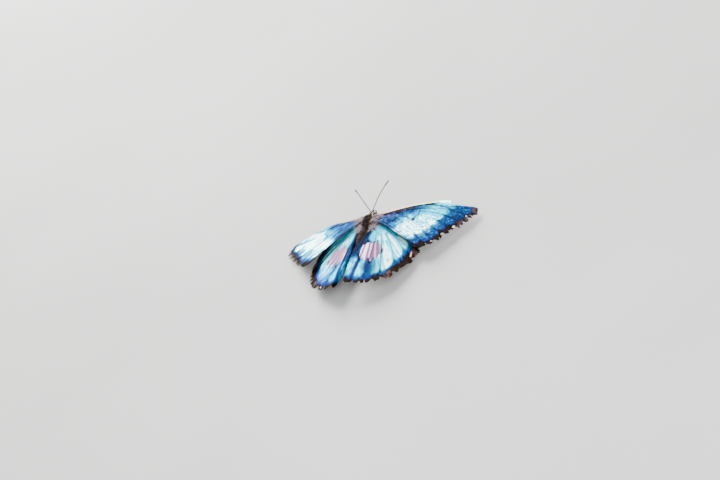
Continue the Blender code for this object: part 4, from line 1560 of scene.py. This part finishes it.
def wing_plans() -> list[WingPlan]:
    """The four wings, as they are held and worn.

    Returns:
        Right and left forewing, then right and left hindwing.
    """
    fore = {
        "kind": "forewing", "veins": FOREWING_VEINS, "focus": (-7.0, 1.0), "teeth": 7, "tooth_depth": 0.45,
        "ripple": 0.45,
    }
    hind = {
        "kind": "hindwing", "veins": HINDWING_VEINS, "focus": (0.0, 5.0), "teeth": 8, "tooth_depth": 1.1,
        "ripple": -0.4, "outline": HINDWING_OUTLINE, "margin": (5, 16), "hinge": (3.75, -3.0, -0.1),
        "tucked": True,
    }
    return [
        WingPlan(
            **fore, side=Side.RIGHT, outline=RIGHT_COSTA + APEX_TO_ROOT, margin=(12, 20), splits=9,
            frayed=0.35, hinge=(3.95, 2.0, 1.6), raised=-2.6, swept=15.5, curl=0.128, pitch=1.9,
            notches=[
                (0.06, 1.0, 1.0), (0.15, 1.9, 1.2), (0.235, 1.7, 1.3), (0.33, 2.3, 1.0), (0.39, 1.6, 0.9),
                (0.46, 2.9, 1.2), (0.53, 1.7, 1.3), (0.66, 1.5, 1.0), (0.78, 2.0, 1.5), (0.9, 1.1, 1.0),
            ],
        ),
        WingPlan(
            **fore, side=Side.LEFT, outline=LEFT_COSTA + APEX_TO_ROOT, margin=(10, 18), splits=26,
            frayed=0.6, hinge=(4.2, 2.0, 1.6), raised=-9.5, swept=31.6, curl=0.062, pitch=-1.7,
            notches=[
                (0.3, 3.4, 0.9), (0.345, 4.4, 0.8), (0.4, 3.6, 0.8), (0.475, 5.2, 2.1), (0.56, 2.9, 1.2),
                (0.66, 3.2, 0.9), (0.72, 2.6, 0.9), (0.8, 3.3, 1.1), (0.89, 1.8, 1.2), (0.16, 1.5, 1.6),
            ],
        ),
        WingPlan(
            **hind, side=Side.RIGHT, splits=18, frayed=0.5, raised=-13.1, swept=6.9, curl=0.128, pitch=-4.0,
            notches=[
                (0.06, 2.2, 3.0), (0.2, 2.4, 1.6), (0.34, 2.2, 1.2), (0.47, 1.5, 1.4), (0.56, 2.6, 1.5),
                (0.68, 2.2, 2.2), (0.77, 3.0, 1.6), (0.88, 2.4, 1.2), (0.94, 2.8, 1.0),
            ],
        ),
        WingPlan(
            **hind, side=Side.LEFT, splits=22, frayed=0.55, raised=-15.0, swept=18.5, curl=0.085, pitch=0.6,
            notches=[
                (0.05, 2.0, 3.0), (0.18, 2.6, 1.0), (0.27, 2.2, 0.9), (0.42, 2.4, 1.5), (0.5, 3.4, 1.1),
                (0.62, 2.6, 1.3), (0.74, 3.4, 2.4), (0.84, 3.0, 1.6), (0.95, 2.2, 1.4),
            ],
        ),
    ]


# ---- Body ----


@dataclass
class Body:
    """Head, thorax and abdomen under one skin, with its hair, eyes and mouthparts."""

    # y, half width, half height, height of the centre over the body's axis
    stations: tuple = (
        (-21.1, 0.22, 0.22, -1.0), (-20.6, 0.55, 0.55, -0.98), (-19.5, 0.92, 0.95, -0.87),
        (-18.0, 1.27, 1.32, -0.75), (-15.0, 1.68, 1.75, -0.55), (-12.0, 1.82, 1.88, -0.42),
        (-9.5, 1.72, 1.78, -0.35), (-7.5, 1.42, 1.5, -0.3), (-6.3, 1.28, 1.35, -0.28),
        (-5.3, 1.75, 1.9, -0.2), (-4.4, 2.4, 2.65, -0.05), (-2.6, 2.85, 3.25, 0.12),
        (-0.6, 3.0, 3.45, 0.2), (1.2, 2.82, 3.25, 0.18), (2.3, 2.2, 2.6, 0.1), (3.2, 1.5, 1.75, 0.0),
        (3.8, 1.05, 1.15, -0.1), (4.4, 1.4, 1.5, -0.08), (5.1, 1.7, 1.75, 0.02), (5.9, 1.72, 1.8, 0.1),
        (6.7, 1.35, 1.45, 0.05), (7.2, 0.8, 0.95, -0.05), (7.4, 0.25, 0.35, -0.1),
    )
    sides: int = 40
    per_station: int = 5
    neck: float = 3.9  # y where the thorax ends in front
    waist: float = -5.8  # y where it ends behind
    first_groove: float = -6.3
    ring_length: float = 1.85
    groove_depth: float = 0.055
    voxel: float = 0.14
    palp: tuple = (
        (0.95, 6.6, -1.1), (0.95, 7.7, -1.3), (0.9, 8.4, -0.9), (0.82, 8.9, -0.2), (0.76, 9.1, 0.4),
    )
    palp_radii: tuple = (0.34, 0.42, 0.4, 0.32, 0.2)
    hair_density: float = 30.0  # roots tried on a square millimetre
    hair_size: tuple = (0.13, 1.0, 1.0)
    flank_hair: float = 2.3
    eye_centre: tuple = (1.42, 5.65, 0.3)
    eye_radii: tuple = (0.98, 1.28, 1.38)
    eye_net: tuple = (24, 40)
    tongue_centre: tuple = (8.4, -2.75)
    tongue_reach: tuple = (1.35, 0.28)  # from the coil's middle, at its root and at its tip
    tongue_turns: float = 1.6
    tongue_rings: int = 70
    tongue_steps: int = 220

    def build(self) -> None:
        """Makes and dresses every piece of the body."""
        skin = self.build_skin()
        self.build_hair(skin)
        for side in Side:
            self.build_eye(side)
        self.build_tongue()

    def ring_wave(self, y: float | np.ndarray) -> float | np.ndarray:
        """One in the grooves between the abdomen's rings, and minus one midway between two grooves."""
        return np.cos(2 * math.pi * (y - self.first_groove) / self.ring_length)

    def loft(self) -> bpy.types.Object:
        """Lofts a closed tube through the stations.

        Returns:
            The tube, with grooves between the abdomen's rings and still without palps.
        """
        sides, rows = self.sides, smooth_through(self.stations, self.per_station)
        turns = 2 * math.pi * np.arange(sides) / sides
        points = []
        for y, half_width, half_height, centre in rows:
            groove = self.groove_depth * (y < self.first_groove) * max(0.0, self.ring_wave(y)) ** 6
            wide, high = half_width * (1.0 - groove), half_height * (1.0 - groove)
            points += [(wide * math.sin(a), y, centre + high * math.cos(a)) for a in turns]
        last = (len(rows) - 1) * sides
        faces = [
            [row + i, row + (i + 1) % sides, row + sides + (i + 1) % sides, row + sides + i]
            for row in range(0, last, sides)
            for i in range(sides)
        ]
        faces += [list(range(sides))[::-1], list(range(last, last + sides))]
        return mesh_object("body_skin", in_frame(np.array(points), height=BODY_HEIGHT), faces)

    def fuse(self, skin: bpy.types.Object) -> None:
        """Makes one even skin of forms that run into each other.

        Args:
            skin: the object that holds the forms.
        """
        skin.data.transform(Matrix.Scale(1.0 / MM, 4))  # the remesh fails on voxels this small in metres
        remesh = skin.modifiers.new("fuse", "REMESH")
        remesh.mode, remesh.voxel_size = "VOXEL", self.voxel
        smooth = skin.modifiers.new("even", "SMOOTH")
        smooth.factor, smooth.iterations = 0.5, 3
        graph = bpy.context.evaluated_depsgraph_get()
        fused = bpy.data.meshes.new_from_object(skin.evaluated_get(graph), depsgraph=graph)
        skin.modifiers.clear()
        fused.transform(Matrix.Scale(MM, 4))
        fused.shade_smooth()
        fused.materials.clear()
        fused.materials.append(CUTICLE.build())
        skin.data = fused

    def build_skin(self) -> bpy.types.Object:
        """One closed skin over head, thorax, abdomen and palps, fused so that no seam shows.

        Returns:
            The skin, on the frame.
        """
        skin = self.loft()
        for side in Side:
            path = in_frame(smooth_through(self.palp, 6), side, BODY_HEIGHT)
            radii = smooth_through(list(self.palp_radii), 6)[:, 0]
            palp = Rod(f"palp_form_{side.word}", CUTICLE, 12)
            self.absorb(skin, palp.build([path], [radii], [np.zeros_like(path)]))
        self.fuse(skin)
        normals = np.zeros(len(skin.data.vertices) * 3)
        skin.data.vertex_normals.foreach_get("vector", normals)
        own = coordinates(skin.data) / MM - frame_shift()
        tint = self.hair_rules(own, normals.reshape(-1, 3))[2]
        write_attribute(skin.data, "tint", "FLOAT_COLOR", opaque(tint * 0.7))
        join_frame(skin, Slot.BODY, "head", "thorax", "abdomen", "palp_left", "palp_right")
        return skin

    @staticmethod
    def absorb(whole: bpy.types.Object, part: bpy.types.Object) -> None:
        """Moves one object's mesh into another.

        Args:
            whole: the object that takes it in.
            part: the object that is used up.
        """
        with bpy.context.temp_override(
            active_object=whole, object=whole, selected_objects=[whole, part],
            selected_editable_objects=[whole, part],
        ):
            bpy.ops.object.join()

    def hair_rules(self, places: np.ndarray, normal: np.ndarray) -> tuple[np.ndarray, np.ndarray, np.ndarray]:
        """How the hair grows at places on the skin.

        Args:
            places: where, on the body's own axes, standing at its height.
            normal: the skin's normals there.

        Returns:
            Chance that a root there is kept, length in millimetres, and colour.
        """
        y, top = places[:, 1], normal[:, 2]
        head, abdomen = y > self.neck, y <= self.waist
        thorax = ~head & ~abdomen
        length = np.where(y > 7.0, 0.55, np.select([head, thorax, abdomen], [0.5, 1.5, 0.62]))
        chance = np.select([head, thorax, abdomen], [0.8, 0.75, 0.85])
        from_eye = np.column_stack([np.abs(places[:, 0]), y, places[:, 2] - BODY_HEIGHT]) - self.eye_centre
        eye = np.linalg.norm(from_eye / self.eye_radii, axis=1)  # the eye's surface is at one
        patches = noise(places[:, 0] / 1.4 + 40, y / 1.4, 61)
        paint = Paint("#0d0805", len(y))
        paint.lay("#21160f", ease(0.35, 0.8, patches) * thorax)
        # painted highlight: the thorax's hair is lighter in patches where it faces up
        paint.lay("#5a4436", 0.4 * thorax * ease(0.5, 0.95, top) * ease(0.5, 0.8, patches))
        paint.lay("#3c2418", 0.6 * abdomen * ease(0.6, 0.3, patches))
        paint.lay("#6f5240", 0.6 * abdomen * ease(0.75, 0.95, self.ring_wave(y)))
        paint.lay("#7b6a57", 0.7 * ease(-0.2, -0.8, top))
        # painted sheen: a blue cast in patches on the thorax's hair
        paint.lay("#163350", 0.4 * thorax * ease(0.6, 0.9, 1.0 - patches))
        paint.lay("#e0cdb2", 0.9 * head * ease(1.42, 1.3, eye))
        paint.lay("#4a2413", 0.6 * (y > 7.6))
        return chance * (eye > 1.08), length, paint.rows

    def hair_roots(
        self, mesh: bpy.types.Mesh, random: np.random.Generator
    ) -> tuple[np.ndarray, np.ndarray]:
        """Scatters roots evenly over a skin.

        Args:
            mesh: the skin.
            random: draws the places.

        Returns:
            Roots in the frame, in millimetres, and the skin's normals there.
        """
        mesh.calc_loop_triangles()
        corners = np.zeros(len(mesh.loop_triangles) * 3, dtype=np.int32)
        mesh.loop_triangles.foreach_get("vertices", corners)
        points = coordinates(mesh) / MM
        a, b, c = (points[corners.reshape(-1, 3)[:, k]] for k in range(3))
        cross = np.cross(b - a, c - a)
        area = np.linalg.norm(cross, axis=1) / 2
        tries = int(area.sum() * self.hair_density)
        picked = random.choice(len(area), size=tries, p=area / area.sum())
        u, v = random.uniform(size=(2, tries))
        fold = u + v > 1
        u, v = np.where(fold, 1 - u, u)[:, None], np.where(fold, 1 - v, v)[:, None]
        return a[picked] + (b - a)[picked] * u + (c - a)[picked] * v, unit(cross[picked])

    @staticmethod
    def on_flank(own: np.ndarray) -> np.ndarray:
        """Finds the flanks, beside the hinges of the wings.

        Args:
            own: places on the body's own axes, standing at its height.

        Returns:
            Whether each place is there.
        """
        height = own[:, 2] - BODY_HEIGHT
        side = np.abs(own[:, 0]) > np.where(own[:, 1] > 1.2, 1.3, 2.1)
        return side & (height > -0.6) & (height < 2.8) & (own[:, 1] > -4.8) & (own[:, 1] < 3.4)

    def build_hair(self, skin: bpy.types.Object) -> None:
        """Tufts over the whole skin, combed back, and long pale ones that hide the hinges of the wings.

        Args:
            skin: the skin that they grow on.
        """
        random = np.random.default_rng(29)
        roots, normal = self.hair_roots(skin.data, random)
        own = roots - frame_shift()
        chance, length, tint = self.hair_rules(own, normal)
        kept = random.uniform(size=len(roots)) < chance
        roots, normal, own, length, tint = (rows[kept] for rows in (roots, normal, own, length, tint))
        count = len(roots)
        flank = self.on_flank(own) & (random.uniform(size=count) < 0.45)
        length = np.where(flank, self.flank_hair, length)[:, None]
        tint = mix(tint, "#b89a80", flank * random.uniform(0.0, 1.0, count) ** 3)
        back = np.where(own[:, 1:2] > 7.0, np.array([0.0, 0.5, 1.0]), np.array([0.0, -1.0, -0.15]))
        lie = back + random.normal(0.0, 0.3, roots.shape)
        lie = unit(lie - normal * (lie * normal).sum(axis=1, keepdims=True))
        outwards = np.stack([np.sign(own[:, 0]), np.full(count, -0.5), np.full(count, 0.1)], axis=1)
        lie = np.where(flank[:, None], unit(outwards + random.normal(0.0, 0.2, roots.shape)), lie)
        size = random_rows(random, count, (0.7, 1.2), (0.7, 1.2), (0.18, 0.42))
        size = size * np.concatenate([np.ones_like(length), length, length], axis=1)
        tint = tint * random.normal(1.0, 0.16, (count, 1))
        around = 0.5 + np.arctan2(own[:, 0], own[:, 2] - BODY_HEIGHT) / (2 * math.pi) * 0.96
        patch = np.stack([(own[:, 1] + 22.0) / 33.0, around], axis=1)
        coat = Coat("body_hair", HAIR_VANE, HAIR, *self.hair_size)
        join_frame(coat.build(roots, normal, lie, size, tint, patch), Slot.BODY)

    def build_eye(self, side: Side) -> None:
        """A bulging compound eye.

        Args:
            side: which one.
        """
        across, around = self.eye_net
        points = [
            (math.cos(polar), math.sin(polar) * math.cos(turn), math.sin(polar) * math.sin(turn))
            for polar in (math.pi * r / across for r in range(1, across))
            for turn in (2 * math.pi * k / around for k in range(around))
        ]
        outer, inner, last = len(points), len(points) + 1, (across - 2) * around
        points += [(1.0, 0.0, 0.0), (-1.0, 0.0, 0.0)]
        faces = []
        for k in range(around):
            j = (k + 1) % around
            faces.append([outer, k, j])
            for row in range(0, last, around):
                faces.append([row + k, row + around + k, row + around + j, row + j])
            faces.append([inner, last + j, last + k])
        centre = in_frame(np.array(self.eye_centre), side, BODY_HEIGHT)
        eye = mesh_object(f"compound_eye_{side.word}", np.array(points) * self.eye_radii + centre, faces)
        eye.data.materials.append(COMPOUND_EYE.build())
        join_frame(eye, Slot.EYE, f"eye_{side.word}")

    def build_tongue(self) -> None:
        """The coiled tongue, finely ringed."""
        steps, (forward, above), (root, tip) = self.tongue_steps, self.tongue_centre, self.tongue_reach
        share = np.linspace(0.0, 1.0, steps)
        reach = root + (tip - root) * share
        turn = math.radians(100) - 2 * math.pi * self.tongue_turns * share
        path = np.stack([
            np.zeros(steps), forward + reach * np.cos(turn), above + reach * np.sin(turn)
        ], axis=1)
        radii = 0.2 - 0.06 * share + 0.012 * np.sin(share * 2 * math.pi * self.tongue_rings)
        tint = Paint("#2a1b14", steps)
        tint.lay("#5a3a22", share)
        tongue = Rod("tongue", ANTENNA, 10).build([in_frame(path, height=BODY_HEIGHT)], [radii], [tint.rows])
        join_frame(tongue, Slot.CHITIN, "proboscis")


@dataclass
class Antennae:
    """The two feelers, ringed, with slim clubs."""

    root: tuple = (0.55, 6.15, 1.82)  # inside the head
    reach: dict = field(default_factory=lambda: {Side.RIGHT: (6.5, 20.5, 6.0), Side.LEFT: (-17.5, 16.6, 4.4)})
    sag: float = 1.2
    lift: float = 0.7
    thin: float = 0.28
    club: float = 0.13  # how much thicker the club is
    rings: int = 36
    steps: int = 220

    def build(self) -> None:
        """Makes both feelers."""
        share = np.linspace(0.0, 1.0, self.steps)
        wave = np.sin(share * 2 * math.pi * self.rings)
        club = np.sin(math.pi * np.minimum(1.0, np.clip((share - 0.8) / 0.2, 0.0, 1.0) * 0.85))
        radii = self.thin + self.club * club + 0.06 * ease(0.04, 0.0, share)
        radii = np.maximum(radii * (1.0 + 0.1 * wave) * ease(1.012, 0.985, share), 0.03)
        tint = Paint("#060404", self.steps)
        tint.lay("#2a170d", ease(0.8, 1.0, share))
        tint.lay("#3a2f26", 0.25 * ease(0.7, 1.0, wave))
        for side in Side:
            root = in_frame(np.array(self.root), side, BODY_HEIGHT)
            path = root + np.array(self.reach[side]) * share[:, None]
            path[:, 2] += self.sag * np.sin(math.pi * share) + self.lift * share
            rod = Rod(f"feeler_{side.word}", ANTENNA, 10).build([path], [radii], [tint.rows])
            join_frame(rod, Slot.CHITIN, f"antenna_{side.word}")


@dataclass(frozen=True)
class LegPlan:
    """One pair of legs, given for the right side."""

    name: str
    points: tuple  # from the hip to the claws, standing on the floor
    radii: tuple
    bristles: int = 260
    bristle_length: float = 0.5


WALKING_RADII = (0.72, 0.6, 0.52, 0.3, 0.26, 0.18, 0.2, 0.17, 0.13)
LEG_PLANS = (
    LegPlan("midleg", (
        (0.9, 0.5, 12.9), (2.0, 0.9, 11.1), (3.4, 1.6, 10.0), (9.0, 4.8, 9.5), (9.9, 5.4, 8.8),
        (12.0, 7.2, 1.3), (12.5, 7.7, 0.2), (13.6, 9.4, 0.2), (14.6, 11.1, 0.2),
    ), WALKING_RADII),
    LegPlan("hindleg", (
        (0.9, -2.4, 12.9), (1.9, -3.6, 11.2), (3.2, -4.6, 9.9), (8.2, -8.4, 8.9), (8.8, -9.0, 8.2),
        (10.8, -13.6, 1.3), (11.1, -14.4, 0.2), (11.8, -16.6, 0.2), (12.5, -18.5, 0.2),
    ), WALKING_RADII),
    LegPlan("foreleg", (
        (0.8, 1.6, 12.7), (1.35, 2.45, 11.7), (1.75, 3.6, 11.0), (1.95, 5.0, 11.3), (1.75, 6.1, 12.0),
    ), (0.42, 0.32, 0.3, 0.24, 0.12), bristles=200, bristle_length=0.9),
)


@dataclass
class Legs:
    """Four walking legs on small flat feet, and two brush-like forelegs folded under the thorax."""

    foot: float = 0.2  # height of the feet's middle over the floor
    per_point: int = 8
    rings: int = 11
    bristle_size: tuple = (0.07, 1.0, 1.0)

    def build(self) -> None:
        """Makes every leg and its bristles."""
        for plan in LEG_PLANS:
            for side in Side:
                path = in_frame(smooth_through(plan.points, self.per_point), side)
                path[:, 2] = np.maximum(path[:, 2], self.foot)
                along = np.linspace(0.0, 1.0, len(path))
                thick = smooth_through(list(plan.radii), self.per_point)[:, 0]
                thick = thick * (1.0 + 0.06 * np.sin(along * 2 * math.pi * self.rings))
                thick = np.minimum(thick, path[:, 2])
                tint = Paint("#2c1f17", len(path)).rows
                leg = Rod(f"{plan.name}_form_{side.word}", LEG, 10).build([path], [thick], [tint])
                join_frame(leg, Slot.CHITIN, f"{plan.name}_{side.word}")
                self.build_bristles(plan, side, path, thick)

    def build_bristles(self, plan: LegPlan, side: Side, path: np.ndarray, thick: np.ndarray) -> None:
        """Short bristles along a leg, combed towards its foot.

        Args:
            plan: the leg.
            side: which one of the pair.
            path: its middle line in the frame.
            thick: its radius along the line.
        """
        random = np.random.default_rng(41 + len(plan.name))
        spot = random.uniform(0.02, 0.97, plan.bristles) * (len(path) - 1)
        low = spot.astype(int)
        part = (spot - low)[:, None]
        centre = path[low] * (1 - part) + path[low + 1] * part
        along = unit(path[low + 1] - path[low])
        out = unit(np.cross(along, random.normal(size=(plan.bristles, 3))))
        roots = centre + out * thick[low][:, None] * 0.9
        kept = roots[:, 2] + out[:, 2] * 0.2 > 0.12
        roots, out, along = roots[kept], out[kept], along[kept]
        count = len(roots)
        size = random_rows(random, count, (0.7, 1.1), (0.6, 1.1), (0.1, 0.3))
        size[:, 1] *= plan.bristle_length
        size[:, 2] *= np.clip(roots[:, 2], 0.1, 1.0)
        tint = Paint("#33251b", count)
        tint.lay("#8a7660", random.uniform(0.0, 0.6, count))
        beside = unit(np.cross(along, [0.0, 0.0, 1.0]))
        around = np.arctan2(out[:, 2], (out * beside).sum(axis=1)) / (2 * math.pi) + 0.5
        patch = np.stack([spot[kept] / len(path), around], axis=1)
        coat = Coat(f"{plan.name}_bristles_{side.word}", HAIR_VANE, HAIR, *self.bristle_size)
        join_frame(coat.build(roots, out, along, size, tint.rows, patch), Slot.CHITIN)


# ---- Studio ----


@dataclass(frozen=True)
class Panel:
    """A square soft light."""

    name: str
    place: tuple[float, float, float]  # where it stands, in metres
    aim: tuple[float, float, float]
    size: float  # of its side, in metres
    power: float  # in watts
    colour: str

    def build(self) -> None:
        """Puts the light into the scene."""
        data = bpy.data.lights.new(self.name, "AREA")
        data.shape, data.size, data.energy = "SQUARE", self.size, self.power
        data.color = linear(self.colour)
        light = bpy.data.objects.new(self.name, data)
        towards = (Vector(self.aim) - Vector(self.place)).to_track_quat("-Z", "Y").to_matrix().to_4x4()
        light.matrix_world = Matrix.Translation(Vector(self.place)) @ towards
        bpy.context.scene.collection.objects.link(light)


# a key light, a panel that the wings mirror, a fill and a rim
PANELS = (
    Panel("key", (-0.4, 0.45, 1.25), (0.0, 0.0, 0.0), 0.8, 42.0, "#ffffff"),
    Panel("mirrored panel", (-0.86, 0.9, 0.64), (0.0, 0.0, 0.0), 1.0, 64.0, "#ffffff"),
    Panel("fill", (0.9, -0.6, 0.8), (0.0, 0.0, 0.0), 0.9, 42.0, "#f4f8ff"),
    Panel("rim", (0.2, 1.1, 0.45), (0.0, 0.0, 0.01), 0.5, 4.0, "#fff4e6"),
)


@dataclass
class Studio:
    """Floor, lights and camera."""

    azimuth: float = 45.3  # angles in degrees, lengths in millimetres
    elevation: float = 32.3
    roll: float = 33.0
    distance: float = 1044.9
    lens: float = 85.0
    sensor: float = 36.0
    aim_right: float = -5.59
    aim_up: float = -11.76
    floor_half: float = 4000.0
    room_colour: tuple = (0.9, 0.93, 1.0, 1.0)
    room_strength: float = 0.55

    def axes(self) -> tuple[Vector, Vector, Vector]:
        """Finds how the camera is turned.

        Returns:
            Its right, up and back directions.
        """
        turn, rise, roll = (math.radians(a) for a in (self.azimuth, self.elevation, self.roll))
        back = Vector((math.sin(turn) * math.cos(rise), -math.cos(turn) * math.cos(rise), math.sin(rise)))
        right = (-back).cross(Vector((0.0, 0.0, 1.0))).normalized()
        up = right.cross(-back)
        rolled = right * math.cos(roll) - up * math.sin(roll), right * math.sin(roll) + up * math.cos(roll)
        return *rolled, back

    def build_camera(self) -> None:
        """The camera, which looks down from behind the right wing and is rolled to one side."""
        right, up, back = self.axes()
        body = Vector(frame_shift()) + Vector((0.0, 0.0, BODY_HEIGHT))
        aim = (body + right * self.aim_right + up * self.aim_up) * MM
        data = bpy.data.cameras.new("camera")
        data.lens, data.sensor_width, data.clip_start = self.lens, self.sensor, 0.01
        camera = bpy.data.objects.new("camera", data)
        turn = Matrix((right, up, back)).transposed().to_4x4()
        camera.matrix_world = Matrix.Translation(aim + back * self.distance * MM) @ turn
        bpy.context.scene.collection.objects.link(camera)
        bpy.context.scene.camera = camera

    def build_floor(self) -> None:
        """A plain pale floor."""
        corners = np.array([(-1.0, -1.0, 0.0), (1.0, -1.0, 0.0), (1.0, 1.0, 0.0), (-1.0, 1.0, 0.0)])
        floor = mesh_object("floor", corners * self.floor_half, [(0, 1, 2, 3)], smooth=False)
        floor.data.materials.append(FLOOR.build())
        floor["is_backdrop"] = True

    def build_room(self) -> None:
        """An even grey room around the lights."""
        world = bpy.data.worlds.new("room")
        world.use_nodes = True
        background = world.node_tree.nodes["Background"].inputs
        background["Color"].default_value = self.room_colour
        background["Strength"].default_value = self.room_strength
        bpy.context.scene.world = world

    def build(self) -> None:
        """Makes the floor, the lights, the room and the camera."""
        self.build_floor()
        for panel in PANELS:
            panel.build()
        self.build_room()
        self.build_camera()


def main() -> None:
    """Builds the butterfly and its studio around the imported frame."""
    logging.basicConfig(level=logging.INFO, format="%(message)s")
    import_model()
    solid_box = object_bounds()
    SOLID_BOX.extend(solid_box)
    Studio().build()
    for plan in wing_plans():
        pattern = ForewingPattern(plan) if plan.kind == "forewing" else HindwingPattern(plan)
        Wing(plan, pattern).build()
    Body().build()
    Antennae().build()
    Legs().build()


if __name__ == "__main__":
    main()
